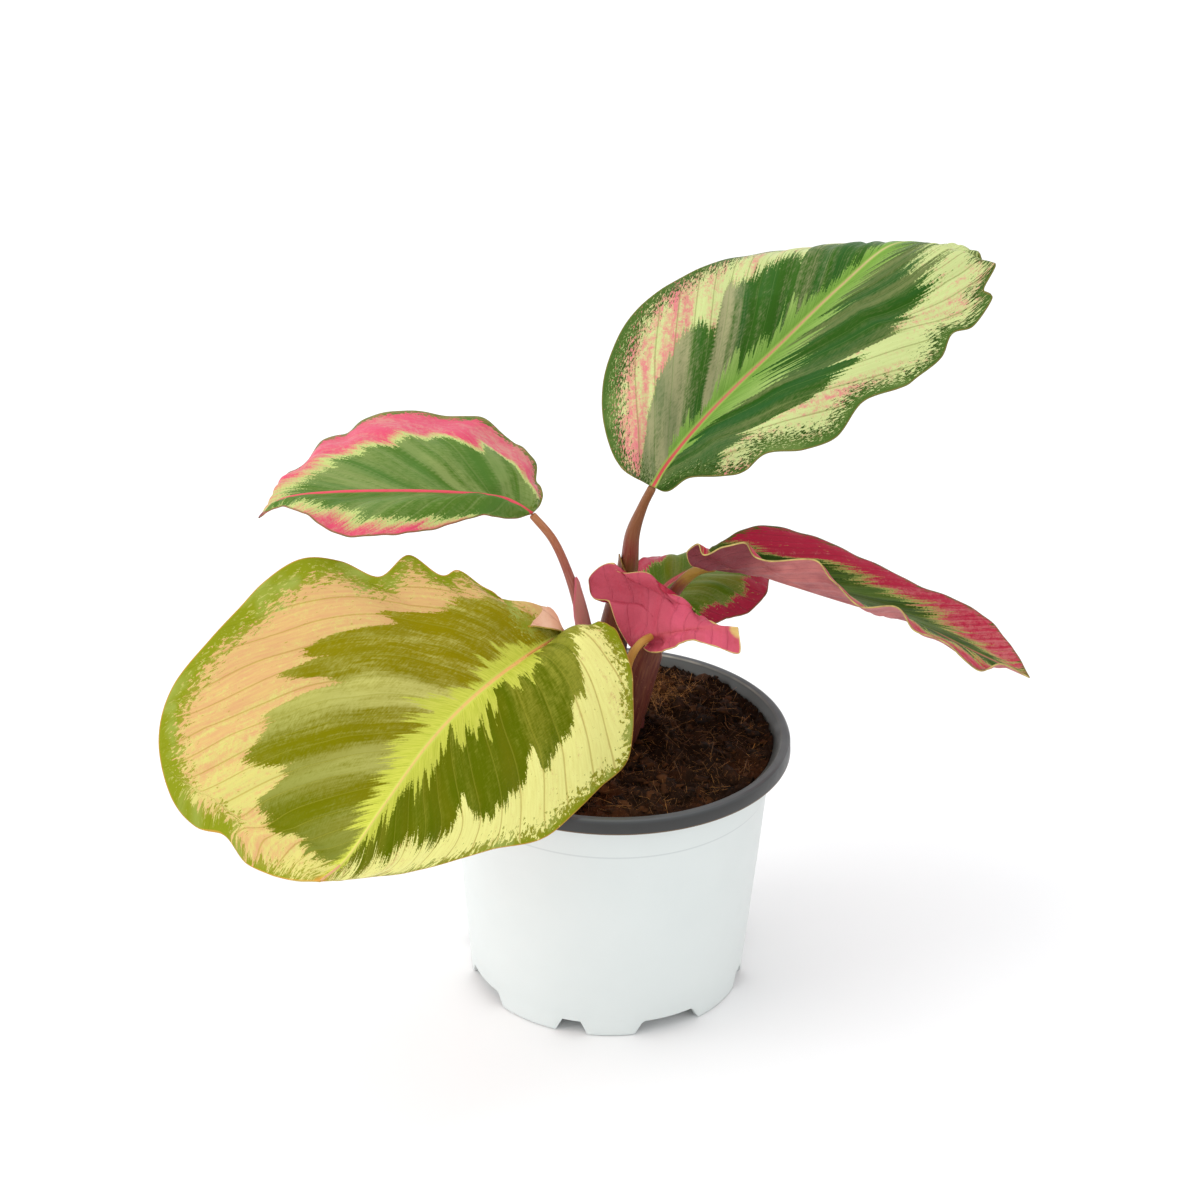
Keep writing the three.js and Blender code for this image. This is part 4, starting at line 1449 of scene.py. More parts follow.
# %% [markdown]
# Underneath, the leaves are red to purple and duller. The side veins show as faint dark lines, the
# keel of the midrib is lighter, and the outermost line of the margin is pale again, because the
# red layer stops just short of it. The cut edge of the sheet takes a third finish.

# %% Underside and edge of a leaf
UNDER_ROUGHNESS = 0.5


def under_face(name, colours, strip=7.0):
    leaf = Finish(name, UNDER_ROUGHNESS, specular=0.25)
    along = leaf.field("along")
    across = leaf.field("across")
    lane = leaf.plus(leaf.field("lane"), LANE_START)
    mottle = leaf.noise(leaf.vector(along, across, 3.0), 0.12, 6, 0.6)
    streak = leaf.vector(leaf.times(lane, 1.1), leaf.times(across, 0.1))
    streak = leaf.noise(streak, 1.0, 4, 0.6)
    specks = leaf.noise(leaf.vector(along, across, 8.0), 2.4, 4, 0.7)
    vein_step = leaf.maths("FRACT", leaf.maths("DIVIDE", lane, strip))
    from_middle = leaf.size_of(leaf.minus(vein_step, 0.5))
    vein = leaf.fade(leaf.times(leaf.minus(0.5, from_middle), strip), 0.08, 0.4)
    start = leaf.fade(along, 4.0, colours.get("start_mm", 12.0))
    keel = leaf.fade(leaf.size_of(across), 0.5, 1.3)
    line = leaf.fade(leaf.field("to_margin"), 0.05, 0.32)
    tip = leaf.fade(leaf.maths("MULTIPLY_ADD", mottle, 6.0, leaf.field("to_tip")), 4.6, 6.2)

    colour = leaf.mix(leaf.span(mottle, 0.35, 0.65), colours["deep"], colours["light"])
    colour = leaf.mix(leaf.span(streak, 0.4, 0.7, 0.0, 0.35), colour, colours["light"])
    colour = leaf.over(colour, colours["line"], leaf.edge(specks, 0.66, 0.74), 0.4)
    colour = leaf.over(colour, colours["vein"], vein, colours.get("vein_share", 0.2))
    colour = leaf.over(colour, colours.get("start", colours["deep"]), start, 0.85)
    colour = leaf.over(colour, colours["keel"], keel, colours["keel_share"])
    colour = leaf.over(colour, colours["line"], line, 0.9)
    colour = leaf.over(colour, colours["line"], tip, colours.get("tip_share", 0.0))

    normal = leaf.bump(leaf.plus(vein, leaf.times(streak, 0.8)), 0.6, 0.0004)
    dents = leaf.noise(leaf.vector(along, across, 5.0), 0.5, 4)
    normal = leaf.bump(dents, 0.45, 0.001, normal)
    rough = leaf.span(mottle, 0.3, 0.7, UNDER_ROUGHNESS - 0.06, UNDER_ROUGHNESS + 0.1)
    return leaf.done(colour, rough, normal)


def edge_of_leaf(name, colour, other):
    leaf = Finish(name, roughness=0.5, specular=0.3)
    patches = leaf.noise(leaf.vector(leaf.times(leaf.field("along"), 0.25), 0.0), 1.0)
    return leaf.done(leaf.mix(leaf.span(patches, 0.35, 0.65), colour, other))


print("underside and edge have theirs")

# %% [markdown]
# Now each leaf in turn. heart and feather say how far the dark heart and the bright feather reach
# from the midrib in each lane, in mm. painted_sheen says how much painted sheen a lane gets for the
# light it catches, and blush how pink the band is. rim is the width of the speckled rim, in mm, from
# stalk (0) to tip (100). The large upper leaf is the darkest green. Its broad pale band blushes near
# the base.

# %% Leaf: upper right
green_leaf = painted(
    heart=(46, 90, 20), heart_light=(156, 153, 112), tint=(30, 86, 44), right=(36, 80, 12),
    right_light=(108, 118, 69), feather=(118, 158, 64), feather_end=(164, 188, 108),
    band=(194, 205, 138), band_shade=(172, 181, 112), blush=(212, 114, 124), fringe=(116, 144, 62),
    rim=(48, 76, 22), rim_light=(70, 100, 38), rim_shine=(104, 128, 62), rim_flecks=0.75,
    drip=(150, 90, 70), vein=(128, 132, 70), heart_vein=(104, 132, 66), rib=(198, 80, 80),
    rib_tip=(190, 176, 122), rib_side=(150, 176, 84), rib_mm=110, line=(132, 116, 56),
    feather_dark=(88, 130, 44), feather_mm=9.0,
)
purple_under = painted(
    deep=(92, 36, 46), light=(140, 66, 76), vein=(60, 22, 34), keel=(170, 96, 80), keel_share=0.6,
    line=(150, 130, 88),
)
build_blade("upper_right", 300, 120, {
    "left": {
        "lean": (1.15, 0.009),
        "heart": [(-12, 4), (-5, 6), (-1, 12), (0, 15), (3, 20), (7, 20), (8, 22), (12, 23),
                  (20, 24), (22, 22), (24, 19), (27, 17), (27.7, 25), (31, 25.5), (38, 23),
                  (46, 23), (54, 20), (61, 17), (64, 14.5), (65, 20), (76, 16), (85, 16),
                  (110, 12), (160, 3)],
        "feather": [(9, 0), (10, 2), (16, 3.5), (20, 7), (22, 4), (26, 2.5), (31, 3.5),
                    (34, 7), (41, 11), (42.5, 6), (51, 6.5), (58, 3.5), (61, 7.5), (67, 7.5),
                    (69, 5), (99, 2.5), (104, 3.5), (120, 3), (170, 1)],
        "painted_sheen": [(-12, 0.5), (0, 0.75), (5, 0.9), (10, 0.95), (14.5, 0.75), (16, 0.5), (19, 0.35),
                 (21, 0.1), (26.5, 0), (27, 0.85), (33, 0.85), (35, 0.5), (38.5, 0.35), (39, 0.05),
                 (58, 0), (62, 0.2), (73, 0.25), (82, 0.15), (92, 0.05), (120, 0.2)],
        "blush": [(-20, 0.6), (-10, 0.8), (-2, 0.55), (1, 0.35), (5, 0.5), (9, 0.7), (14, 0.6),
                  (17, 0.3), (24, 0.35), (28, 0.4), (33, 0.2), (50, 0.1), (56, 0), (170, -0.2)],
        "rim": [(0, 0), (8, 2.5), (16, 5), (30, 6.8), (45, 6.2), (55, 4.2), (70, 3), (100, 3)],
    },
    "right": {
        "lean": (1.65, 0.032),
        "heart": [(-14, 8), (-6, 14), (3, 18), (5, 13), (6, 18), (8, 22), (10, 24), (21, 25),
                  (22, 19), (23.5, 20), (24, 26), (31, 24.5), (40, 24), (46, 20), (49, 18),
                  (50, 20.5), (59, 16), (66, 13), (90, 8), (136, 1)],
        "feather": [(9, 0), (13, 2.5), (14, 5), (16, 2), (23, 4), (26, 6), (27, 10), (32, 10.5),
                    (36, 10), (38, 7), (50, 5.5), (58, 6), (61, 8), (66, 5), (89, 4.5),
                    (140, 1)],
        "painted_sheen": [(-10, 0.3), (-4, 0.25), (-1, 0.55), (4, 0.6), (7, 0.35), (12, 0.45), (13, 0.1),
                 (22, 0), (23, 0.5), (27, 0.6), (29, 0.35), (31, 0.05), (46, 0.03), (48, 0.55),
                 (50, 0.75), (58, 0.8), (59.5, 0.3), (64, 0.35), (71, 0.4), (73, 0.8), (86, 0.75),
                 (100, 0.5)],
        "blush": [(-20, 0.6), (-8, 0.4), (-3, 0.2), (0, 0), (5, 0.3), (12, 0.3), (17, -0.1),
                  (22, -0.1), (28, 0.35), (40, 0.25), (46, -0.1), (60, -0.1), (150, -0.3)],
        "rim": [(0, 0), (8, 2), (16, 3), (22, 3), (28, 6), (36, 5), (42, 5), (50, 3), (56, 5),
                (62, 3), (66, 4), (72, 2), (76, 2), (80, 1), (90, 3), (100, 3)],
    },
    "bulge_every": 15, "bulge": 1.0, "ripple": 0.25, "keel": 0.25,
    "finishes": (
        upper_face("green_leaf_face", green_leaf, strip=7.0, tear=2.2, jump=3.0, speckle=2.2,
                   speck_mm=0.6, midrib=0.5),
        under_face("purple_leaf_under", purple_under),
        edge_of_leaf("green_leaf_edge", paint(128, 108, 56), paint(110, 128, 60)),
    ),
})

# %% [markdown]
# The large lower leaf is older. Its greens have turned olive and yellow, and its band is peach on
# the side away from the viewer. It is so thin that light comes through, so its colours are lighter
# than those of the others.

# %% Leaf: lower left
olive_leaf = painted(
    heart=(90, 102, 0), heart_light=(150, 150, 52), tint=(124, 116, 14), right=(136, 124, 0),
    right_light=(206, 200, 114), tint_share=0.35, tip_share=0.85, feather=(208, 210, 84),
    feather_end=(196, 196, 84), band=(236, 233, 144), band_shade=(216, 204, 112),
    blush=(206, 158, 108), right_band=(202, 194, 112), fringe=(150, 140, 34), rim=(144, 142, 44),
    rim_light=(132, 140, 24), rim_shine=(158, 170, 84), rim_flecks=0.5, specular=0.04,
    vein=(170, 142, 56), heart_vein=(156, 152, 50), rib=(240, 180, 110), rib_tip=(226, 210, 116),
    rib_side=(206, 212, 92), rib_mm=130, line=(206, 146, 66), feather_dark=(164, 176, 44),
    feather_soft=1.3,
)
peach_under = painted(
    deep=(216, 150, 118), light=(232, 184, 154), vein=(190, 122, 96), keel=(226, 176, 110),
    keel_share=0.6, line=(190, 196, 80),
)
build_blade("lower_left", 300, 150, {
    "left": {
        "lean": (-0.55, 0.025),
        "heart": [(0, 5), (12, 9), (15, 12), (19, 22), (24, 21), (25, 26), (27, 28), (36, 31.5),
                  (38, 30), (39, 22), (42, 27), (43, 30.5), (49, 31), (57, 29.5), (62, 26),
                  (66, 19), (68, 21), (77, 21), (86, 14), (93, 11), (106, 8.5), (129, 1)],
        "feather": [(8, 0), (16, 3), (22, 5.5), (28, 7), (31, 10.5), (32, 5.5), (38, 8),
                    (39, 2.5), (47, 8.5), (51, 13), (53, 8), (61, 9), (63, 8), (67, 1.5),
                    (71, 6), (81, 7.5), (89, 5.5), (93, 2), (99, 2), (102, 4), (128, 1)],
        "painted_sheen": [(0, 0.7), (14, 0.75), (25, 0.6), (26, 0.2), (31, 0.25), (33, 0.4), (40, 0.35),
                 (41, 0), (49, 0), (52, 0.05), (58, 0.1), (60, 0.0), (62, 0.15), (67, 0.25),
                 (68, 0), (80, 0.05), (82, 0.35), (88, 0.45), (89, 0), (98, 0), (104, 0.6),
                 (128, 0.5)],
        "blush": [(-20, 0.1), (20, -0.2), (60, -0.2), (90, 0), (128, 0.2)],
        "rim": [(0, 0), (5, 1), (9, 2.5), (14, 4), (24, 6), (36, 4), (46, 2), (52, 4), (62, 4),
                (70, 3), (84, 1.5), (100, 1)],
    },
    "right": {
        "lean": (0.75, 0.002),
        "heart": [(-10, 4), (4, 4), (6.7, 7), (8, 11), (9.5, 16.5), (10.2, 22), (18, 27.5),
                  (22, 25), (24, 26), (28, 37), (31, 36), (33, 31), (35, 38), (36, 45),
                  (38.5, 48.5), (41, 45), (43, 41),
                  (44.5, 48.5), (49, 43), (51, 36), (54, 31), (54.5, 42), (57, 49), (61, 44),
                  (67, 45), (68.5, 48), (77, 39), (80, 30.5), (84, 33), (90, 36), (95, 31),
                  (100, 29), (107, 23.5), (111, 17.5), (119, 14), (126, 6), (132, 1)],
        "feather": [(4, 0), (12, 1), (20, 4), (29, 8), (31, 5), (38, 9), (40, 5.5), (44, 6.5),
                    (45, 1), (54, 6), (59, 10), (62, 15), (66, 9.5), (69, 10.5), (72, 5.5),
                    (79, 8.5), (92, 8.5), (95, 5.5), (100, 4), (110, 6), (116, 2), (127, 2)],
        "painted_sheen": [(0, 0.3), (14, 0.1), (26, 0.05), (33, 0), (34, 0.15), (44, 0.15), (50, 0.1),
                 (53, 0.35), (54.5, 0.85), (64, 0.8), (65, 0.45), (70, 0.3), (71, 0), (78, 0),
                 (80, 0.85), (92, 0.8), (94, 0.3), (96, 0), (104, 0), (107, 0.55), (117, 0.8),
                 (132, 0.7)],
        "blush": [(-20, 0.9), (20, 0.95), (48, 0.9), (60, 0.55), (72, 0.5), (76, 0.2),
                  (86, 0.2), (92, 0.55), (104, 0.55), (112, 0.2), (132, 0)],
        "rim": [(0, 0), (14, 1), (20, 3), (26, 3), (32, 6), (36, 4), (42, 7), (50, 9), (58, 9),
                (64, 6), (70, 8), (76, 8), (82, 6), (86, 3), (92, 3), (100, 1)],
    },
    "bulge_every": 15, "bulge": 1.0, "ripple": 0.2, "keel": 0.25,
    "finishes": (
        upper_face("olive_leaf_face", olive_leaf, strip=7.5, tear=2.4, jump=3.4, speckle=2.2,
                   midrib=0.6, seed=40.0),
        under_face("peach_leaf_under", peach_under, strip=7.5),
        edge_of_leaf("olive_leaf_edge", paint(210, 160, 90), paint(170, 164, 50)),
    ),
})

# %% [markdown]
# The upper left leaf is small and young. Its band is hot pink, with a light green fringe against
# the dark heart, and its midrib is pink from end to end. Its near half has no bright feather and no
# speckled rim, which a table with one low value says: the edge of both is then never reached.

# %% Leaf: upper left
NO_FEATHER = [(0, -2)]
NO_RIM = [(0, -1)]
pink_leaf = painted(
    heart=(78, 112, 34), heart_light=(132, 148, 84), tint=(72, 116, 50), feather=(96, 128, 56),
    feather_end=(84, 116, 52), band=(206, 134, 122), band_shade=(208, 92, 112),
    blush=(214, 68, 102), fringe=(188, 204, 122), fringe_mm=4.0, rim=(84, 112, 34),
    rim_light=(150, 130, 70), vein=(214, 96, 110), rib=(226, 84, 98), heart_vein=(128, 146, 84),
    feather_dark=(84, 116, 44), rib_tip=(228, 72, 100), rib_side=(104, 128, 56), rib_mm=220,
    line=(120, 116, 50), drip=(120, 50, 74),
)
build_blade("upper_left", 220, 96, {
    "left": {
        "lean": (1.4, 0.01),
        "heart": [(-30, 10), (-10, 10), (0, 12), (8, 13), (20, 17.5), (27, 17.5), (36, 15),
                  (44, 13), (52, 12), (62, 9), (80, 4), (94, 1)],
        "feather": NO_FEATHER,
        "painted_sheen": [(-30, 0.4), (0, 0.4), (8, 0.1), (20, 0.2), (30, 0.5), (38, 0.75), (46, 0.3),
                 (54, 0.1), (90, 0.2)],
        "blush": [(-30, 0.85), (30, 0.75), (40, 0.65), (100, 0.6)],
        "rim": NO_RIM,
    },
    "right": {
        "lean": (0.1, 0.038),
        "heart": [(-20, 4), (-3, 3), (0, 5), (4, 10), (6, 17), (8, 20), (10, 15.5), (12, 18),
                  (15, 23.5), (18, 21.5), (20, 23.5), (27, 19.5), (30, 20), (35, 17), (40, 16),
                  (46, 12), (54, 9), (64, 6), (80, 1)],
        "feather": [(6, -2), (8, 1), (9.5, 3), (11, 1), (13, -2), (28, -1), (30, 3), (32, -2),
                    (100, -2)],
        "painted_sheen": [(-20, 0.6), (3, 0.6), (7, 0.4), (8, 0.9), (10.5, 0.8), (11, 0.1), (16, 0.15),
                 (17, 0.6), (22, 0.6), (23, 0.95), (25.5, 0.8), (26, 0.05), (29, 0.2), (30, 0.6),
                 (37, 0.5), (38, 0), (40.5, 0.1), (41, 0.8), (47, 0.8), (48, 0.4), (50, 0.9),
                 (55, 0.7), (61, 0.6), (62, 0.1), (80, 0.1)],
        "blush": [(-20, 0.6), (0, 0.5), (6, 0.6), (9, 0.95), (13, 0.95), (15, 0.65), (19, 0.6),
                  (21, 1.0), (26, 0.9), (30, 0.7), (38, 0.65), (80, 0.6)],
        "rim": [(0, -1), (6, 2.0), (30, 1.8), (46, 2.4), (62, 2.0), (80, 1.2), (100, -1)],
    },
    "bulge_every": 10, "bulge": 0.7, "ripple": 0.2, "keel": -1.4,
    "finishes": (
        upper_face("pink_leaf_face", pink_leaf, strip=5.0, tear=1.6, jump=1.6, speckle=0.8,
                   speck_mm=0.7, midrib=0.75, seed=80.0),
        under_face("plum_leaf_under", purple_under, strip=5.0),
        edge_of_leaf("pink_leaf_edge", paint(120, 112, 60), paint(170, 92, 80)),
    ),
})

# %% [markdown]
# The curled leaf in the middle shows only its rose underside. Its upper face and those of the folded
# leaf on the right and of the leaf at the back are crimson. The last two therefore start from its
# chart of colours and change a few. Both halves of the curled leaf follow one table.

# %% Leaf: centre, curled
crimson_leaf = painted(
    heart=(64, 100, 18), heart_light=(120, 142, 70), tint=(88, 104, 10), feather=(96, 116, 30),
    feather_end=(84, 108, 26), band=(176, 56, 76), band_shade=(160, 36, 62), blush=(160, 30, 58),
    fringe=(160, 176, 92), fringe_mm=1.0, rim=(96, 70, 40), rim_light=(88, 110, 36),
    vein=(120, 40, 56), rib=(200, 92, 96), heart_vein=(120, 140, 60), feather_dark=(84, 108, 26),
    rib_tip=(190, 84, 92), rib_side=(110, 120, 50), rib_mm=60, line=(120, 96, 50), vein_share=0.3,
)
rose_under = painted(
    deep=(184, 71, 89), light=(202, 80, 104), vein=(140, 44, 66), keel=(190, 84, 84),
    keel_share=0.3, line=(214, 190, 112), vein_share=0.12, tip_share=0.8,
)
small_half = {
    "lean": (0.1, 0.0),
    "heart": [(-20, 6), (5, 10), (20, 8), (35, 2)],
    "feather": NO_FEATHER,
    "painted_sheen": [(-20, 0.2), (5, 0.5), (12, 0.1), (20, 0.5), (35, 0.2)],
    "blush": [(-20, 0.8), (20, 0.7), (35, 0.3)],
    "rim": NO_RIM,
}
build_blade("centre_curled", 120, 84, {
    "left": small_half, "right": small_half, "bulge_every": 6, "bulge": 0.8, "ripple": 0.15,
    "keel": 0.3,
    "finishes": (
        upper_face("crimson_leaf_face", crimson_leaf, strip=4.5, tear=1.4, jump=1.6, speckle=0.8,
                   midrib=0.5, seed=120.0),
        under_face("rose_leaf_under", rose_under, strip=5.5),
        edge_of_leaf("crimson_leaf_edge", paint(214, 190, 106), paint(190, 140, 90)),
    ),
})

# %% [markdown]
# The folded leaf on the right is half closed. From the front it shows the dusky pink underside of
# its near half, and behind that a strip of the dark green heart and the crimson band.

# %% Leaf: right, folded
dusky_under = painted(
    deep=(162, 80, 84), light=(206, 124, 120), vein=(132, 64, 68), keel=(176, 110, 90),
    keel_share=0.4, line=(206, 180, 104), start=(112, 44, 54), start_mm=20.0,
)
folded_leaf = crimson_leaf | painted(
    heart=(34, 64, 2), heart_light=(80, 106, 42), band=(200, 104, 108), blush=(184, 32, 66),
    band_shade=(168, 40, 66), fringe=(166, 180, 92), fringe_mm=2.4, rim=(74, 92, 24),
)
build_blade("right_folded", 240, 96, {
    "left": {
        "lean": (2.5, 0.0),
        "heart": [(-60, 12), (-28, 16), (-24, 17), (-22, 21.5), (-19, 24), (0, 21), (20, 19),
                  (42, 14), (60, 9), (74, 6), (110, 0)],
        "feather": NO_FEATHER,
        "painted_sheen": [(-60, 0.1), (-10, 0.1), (-8, 0.6), (-6, 0.6), (-4, 0.3), (4, 0.4), (8, 0.8),
                 (17, 0.8), (18, 0.1), (32, 0.1), (36, 0.6), (44, 0.6), (50, 0.2), (58, 0.8),
                 (64, 0.8), (70, 0.2), (110, 0.2)],
        "blush": [(-60, 1.2), (-14, 1.1), (0, 0.9), (15, 0.8), (30, 0.6), (60, 0.5), (110, 0.4)],
        "rim": [(0, -1), (15, 0), (25, 1.2), (45, 1.0), (60, 0.3), (80, 0.3), (100, 0)],
    },
    "right": {
        "lean": (1.5, 0.01),
        "heart": [(-60, 8), (0, 12), (40, 10), (90, 3)],
        "feather": NO_FEATHER,
        "painted_sheen": [(-60, 0.1), (20, 0.3), (60, 0.2), (110, 0.2)],
        "blush": [(-60, 1), (40, 0.9), (110, 0.6)],
        "rim": [(0, -1), (70, -0.5), (100, 0.5)],
    },
    "bulge_every": 12, "bulge": 0.6, "ripple": 0.2, "keel": 0.4,
    "finishes": (
        upper_face("crimson_folded_face", folded_leaf, strip=5.0, tear=2.0, jump=2.6, speckle=1.0,
                   midrib=0.6, seed=160.0),
        under_face("dusky_leaf_under", dusky_under, strip=5.5),
        edge_of_leaf("folded_leaf_edge", paint(206, 186, 108), paint(150, 120, 70)),
    ),
})

# %% [markdown]
# The leaf at the back is the smallest but one, and the curled leaf hides part of it from the front.
# Its heart is a lighter green than that of the folded leaf, and its band is crimson all over.

# %% Leaf: back
back_leaf = crimson_leaf | painted(
    heart=(82, 112, 14), heart_light=(126, 140, 72), tint=(136, 124, 8), blush=(176, 41, 70),
)
build_blade("back", 150, 84, {
    "left": {
        "lean": (0.8, 0.01),
        "heart": [(-20, 8), (2, 9), (8, 8), (18, 11.5), (24, 7), (60, 0)],
        "feather": NO_FEATHER,
        "painted_sheen": [(-20, 0.2), (5, 0.1), (12, 0.4), (30, 0.2), (60, 0.2)],
        "blush": [(-20, 1), (60, 1)],
        "rim": NO_RIM,
    },
    "right": {
        "lean": (0.8, 0.01),
        "heart": [(-20, 12), (-5, 15.5), (5, 18.5), (12, 18), (21, 14), (36, 8), (60, 0)],
        "feather": NO_FEATHER,
        "painted_sheen": [(-20, 0.2), (-4, 0.1), (4, 0.5), (8, 0.1), (14, 0.5), (60, 0.2)],
        "blush": [(-20, 0.9), (60, 1)],
        "rim": NO_RIM,
    },
    "bulge_every": 8, "bulge": 0.7, "ripple": 0.15, "keel": 0.55,
    "finishes": (
        upper_face("crimson_back_face", back_leaf, strip=4.5, tear=1.6, jump=2.0, speckle=0.8,
                   midrib=0.9, seed=200.0),
        under_face("wine_leaf_under", purple_under, strip=4.5),
        edge_of_leaf("back_leaf_edge", paint(150, 60, 60), paint(130, 110, 60)),
    ),
})

# %% [markdown]
# A stalk is round and satin, thick where its sheath wraps it near the soil and slender above. It is
# a tube round its route: a grid is rolled up, so that one side of the grid runs along the stalk and
# the other goes round it. Low ridges along it and a wavy girth keep it from looking turned. The
# sheaths are rolled up in the same way, so the rolling is a helper of its own.

# %% Rolling a grid round a stalk
TURN_WIDTH = 3  # mm by which a skin pattern is laid out across the stalk, so that it closes


def rolled_grid(name, cells_along):
    """A flat grid, with two shares for each point: along the stalk, 0 to 1, and round it, -1 to 1."""
    pick()
    bpy.ops.mesh.primitive_grid_add(x_subdivisions=cells_along, y_subdivisions=32, size=2)
    piece = added(name)
    flat = read_points(piece)
    return piece, (flat[:, 0] + 1) / 2, flat[:, 1]


def roll_round(piece, guide, s, angle, radius, share):
    """Rolls the grid round the stalk's route. radius is in mm, angle 0 is left and 90 degrees front."""
    middle = along_line(guide["stalk"], s)
    along = direction(guide["stalk"], s, 0.001)
    side = unit(np.cross(along, np.array([0.0, 1.0, 0.0])))
    other = np.cross(along, side)
    radius = radius[:, None]
    place = middle + side * radius * np.cos(angle)[:, None] + other * radius * np.sin(angle)[:, None]
    place_points(piece, place * MM)
    write_field(piece, "along", s * line_length(guide["stalk"]))
    write_field(piece, "share", share)
    write_field(piece, "around", np.cos(angle) * TURN_WIDTH)
    write_field(piece, "around_too", np.sin(angle) * TURN_WIDTH)


print("stalk lengths in mm:", [round(line_length(g["stalk"])) for g in GUIDES.values()])

# %% Stalk builder
def build_stalk(name, finish):
    guide = GUIDES[name]
    stalk, s, turn = rolled_grid(f"stem_{name}", 150)
    angle = np.pi * (turn + 1)
    girth = along_line(guide["girth"], s)[:, 0]
    to_end = np.minimum(s, 1 - s) * line_length(guide["stalk"]) / girth
    girth = girth * np.sqrt(np.clip(1 - (1 - np.clip(to_end, 0, 1)) ** 2, 0, 1))
    ridges = 1 + 0.02 * np.cos(9 * angle) + 0.012 * np.cos(17 * angle + 9 * s)
    roll_round(stalk, guide, s, angle, girth * ridges, share=s)
    close_mesh(stalk)
    face_outwards(stalk)
    smooth(stalk)
    stalk.data.materials.append(finish)
    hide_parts(f"stalk_{name}")
    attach(stalk, "root")
    print(stalk.name, "faces:", len(stalk.data.polygons))


# %% [markdown]
# The colour of a stalk changes along it, from purple at the soil to brown, ochre or pink under the
# leaf. A colour ramp along its length gives that. Streaks stretched along it give the fibres under
# the skin, and small pale specks lie on it. A sheath has a skin of the same kind, between two
# colours, and its thin edge is paler.

# %% Stalk and sheath finishes
WARM_SHINE = (1.0, 0.9, 0.75, 1.0)
STALK_ROUGHNESS = 0.4
SPECK = paint(206, 150, 110)


class StalkSkin(Finish):
    """A satin skin with fibres along the stalk."""

    def __init__(self, name, roughness, along_scale, fibre_scale):
        super().__init__(name, roughness, specular=0.25)
        self.shader.inputs["Specular Tint"].default_value = WARM_SHINE
        self.skin = self.vector(
            self.times(self.field("along"), along_scale), self.field("around"),
            self.field("around_too"),
        )
        self.fibres = self.noise(self.skin, fibre_scale, 5, 0.65)

    def speckled(self, colour, per_metre):
        specks = self.edge(self.noise(self.place(), per_metre, 3, 0.6), 0.66, 0.72)
        return self.over(colour, SPECK, specks, 0.4)


def stalk_finish(name, streak, steps):
    """streak is the colour of the fibres, steps are (share of the length, colour) pairs."""
    stalk = StalkSkin(name, STALK_ROUGHNESS, 0.06, 2.2)
    ramp = stalk.tree.nodes.new("ShaderNodeValToRGB")
    elements = ramp.color_ramp.elements
    for number, (share, colour) in enumerate(steps):
        element = elements[number] if number < 2 else elements.new(share)
        element.position = share
        element.color = paint(*colour)
    wander = stalk.span(stalk.noise(stalk.skin, 0.8, 3), 0.3, 0.7, -0.04, 0.04)
    stalk.put(ramp.inputs["Fac"], stalk.plus(stalk.field("share"), wander))
    fibres = stalk.span(stalk.fibres, 0.42, 0.7, 0.0, 0.45)
    colour = stalk.mix(fibres, ramp.outputs["Color"], paint(*streak))
    colour = stalk.speckled(colour, 1500)
    rough = stalk.span(stalk.fibres, 0.3, 0.7, STALK_ROUGHNESS - 0.06, STALK_ROUGHNESS + 0.08)
    return stalk.done(colour, rough, stalk.bump(stalk.fibres, 0.4, 0.0003))


def sheath_finish(name, low_colour, high_colour, edge_colour):
    sheath = StalkSkin(name, 0.42, 0.08, 2.6)
    colour = sheath.mix(sheath.field("share"), paint(*low_colour), paint(*high_colour))
    fibres = sheath.span(sheath.fibres, 0.42, 0.7, 0.0, 0.4)
    colour = sheath.mix(fibres, colour, paint(*edge_colour))
    colour = sheath.speckled(colour, 1300)
    edge = sheath.fade(sheath.field("to_edge"), 0.15, 0.7)
    colour = sheath.over(colour, paint(*edge_colour), edge, 0.85)
    return sheath.done(colour, normal=sheath.bump(sheath.fibres, 0.45, 0.0003))


print("stalk and sheath finishes ready")

# %% [markdown]
# The stalks in the order of their leaves. Each chart starts with the colour of the fibres and then
# names a share of the length and the colour there.

# %% Six stalks
build_stalk("upper_right", stalk_finish("brown_stalk", (150, 104, 70), [
    (0.0, (96, 36, 38)), (0.35, (100, 50, 38)), (0.57, (108, 74, 36)), (0.66, (126, 50, 44)),
    (0.73, (126, 74, 50)), (1.0, (130, 84, 52)),
]))
build_stalk("lower_left", stalk_finish("tan_stalk", (196, 150, 86), [
    (0.0, (104, 56, 40)), (1.0, (176, 112, 56)),
]))
build_stalk("upper_left", stalk_finish("mauve_stalk", (206, 150, 128), [
    (0.0, (116, 58, 52)), (0.45, (166, 102, 92)), (0.6, (158, 92, 84)), (0.68, (150, 76, 66)),
    (0.82, (160, 92, 64)), (1.0, (170, 112, 66)),
]))
build_stalk("centre_curled", stalk_finish("ochre_stalk", (200, 150, 80), [
    (0.0, (96, 46, 38)), (0.36, (122, 62, 46)), (0.44, (170, 122, 52)), (1.0, (184, 134, 62)),
]))
build_stalk("right_folded", stalk_finish("purple_stalk", (134, 68, 56), [
    (0.0, (70, 28, 26)), (0.35, (96, 40, 40)), (0.58, (104, 38, 40)), (0.68, (124, 66, 40)),
    (0.78, (150, 116, 38)), (1.0, (146, 112, 46)),
]))
build_stalk("back", stalk_finish("dark_stalk", (150, 90, 80), [
    (0.0, (90, 44, 40)), (1.0, (140, 70, 70)),
]))

# %% [markdown]
# The lower part of a stalk is wrapped in its sheath, a thin sheet that is open down one side and
# ends in an ear. It is the same rolled grid as the stalk, a little wider and not closed, and it
# narrows to a point at its top. A Solidify gives it its thickness and closes its edges.

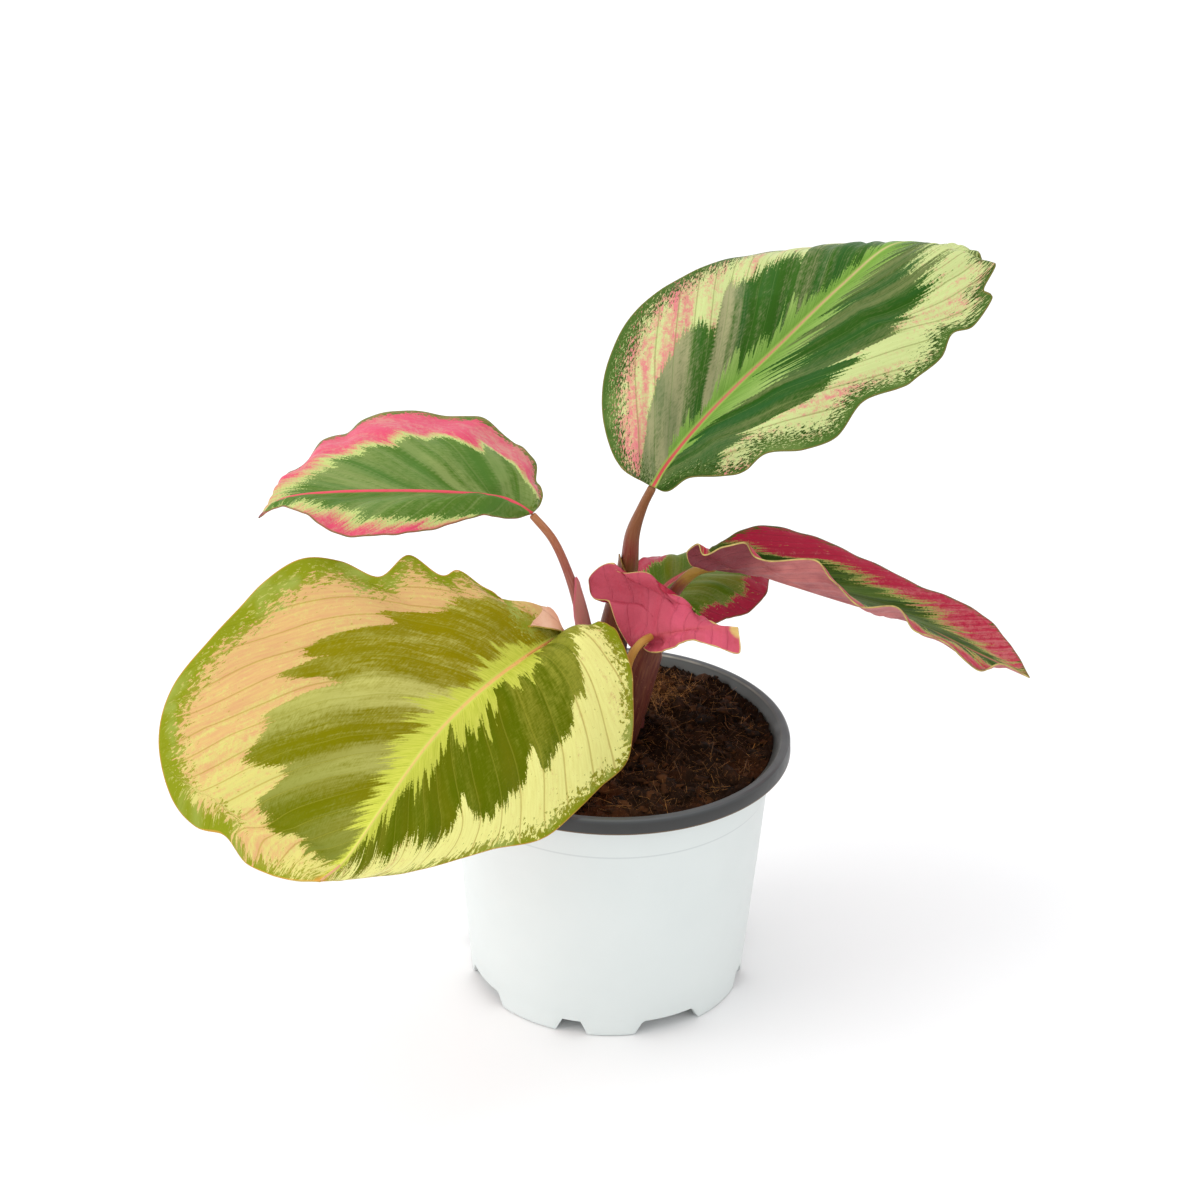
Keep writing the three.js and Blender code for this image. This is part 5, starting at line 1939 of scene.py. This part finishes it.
# %% Sheaths
SHEATH_THICKNESS = 0.3
SHEATH_START = 0.06  # share of the stalk's length at which a sheath starts, below the soil
EAR_START = 0.62  # share of the sheath's length at which it starts to narrow


def build_sheath(name, high, facing, standing_off, *colours):
    """Wraps a stalk up to high, a share of its length. facing is the ear's angle, in degrees."""
    guide = GUIDES[name]
    sheath, up, turn = rolled_grid(f"sheath_{name}", 110)
    s = SHEATH_START + (high - SHEATH_START) * up
    ease = np.clip((up - EAR_START) / (1 - EAR_START), 0, 1)
    half = np.pi * (0.9 - 0.84 * ease**1.4)
    ripple = 0.07 * np.sin(24 * up) * (1 - ease)
    angle = math.radians(facing) + turn * (half + ripple)
    girth = along_line(guide["girth"], s)[:, 0]
    off = 0.24 + 0.03 * girth + standing_off * ease**2 + 0.12 * np.abs(turn) ** 6
    ridges = 1 + 0.014 * np.cos(15 * angle)
    roll_round(sheath, guide, s, angle, (girth + off) * ridges, share=up)
    write_field(sheath, "to_edge", (1 - np.abs(turn)) * half * girth)
    apply_modifier(sheath, "SOLIDIFY", thickness=SHEATH_THICKNESS * MM, offset=0.0)
    face_outwards(sheath)
    smooth(sheath)
    sheath.data.materials.append(sheath_finish(f"sheath_skin_{name}", *colours))
    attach(sheath, "root")
    print(sheath.name, "faces:", len(sheath.data.polygons))


# stalk, height, facing, how far the ear stands off in mm, then its low, high and edge colours
for sheath in (
    ("upper_right", 0.63, 15, 0.5, (98, 34, 40), (116, 64, 48), (148, 116, 50)),
    ("upper_left", 0.64, 150, 0.5, (110, 54, 48), (196, 134, 122), (214, 104, 122)),
    ("right_folded", 0.47, 60, 0.4, (70, 28, 26), (104, 48, 40), (150, 98, 66)),
    ("lower_left", 0.55, 0, 0.4, (100, 52, 40), (140, 86, 52), (168, 124, 70)),
):
    build_sheath(*sheath)

# %% [markdown]
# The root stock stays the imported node, because it lies hidden in the soil. It still gets a finish:
# brown, scaly and fibrous.

# %% Root stock finish
def root_finish():
    root = Finish("root_stock", roughness=0.7, specular=0.3)
    place = root.place()
    colour = root.mix(root.noise(place, 300, 5, 0.65), paint(92, 62, 40), paint(150, 112, 76))
    rings = root.noise(root.stretched(place, (1, 1, 6)), 140, 4)
    colour = root.mix(root.edge(rings, 0.5, 0.62), colour, paint(70, 44, 30))
    return root.done(colour, normal=root.bump(rings, 0.6, 0.001))


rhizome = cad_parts["rhizome"]
rhizome.data.materials.clear()
rhizome.data.materials.append(root_finish())
print("rhizome finish:", rhizome.data.materials[0].name)

# %% [markdown]
# Last, nothing is left selected.

# %% Clear the selection
pick()
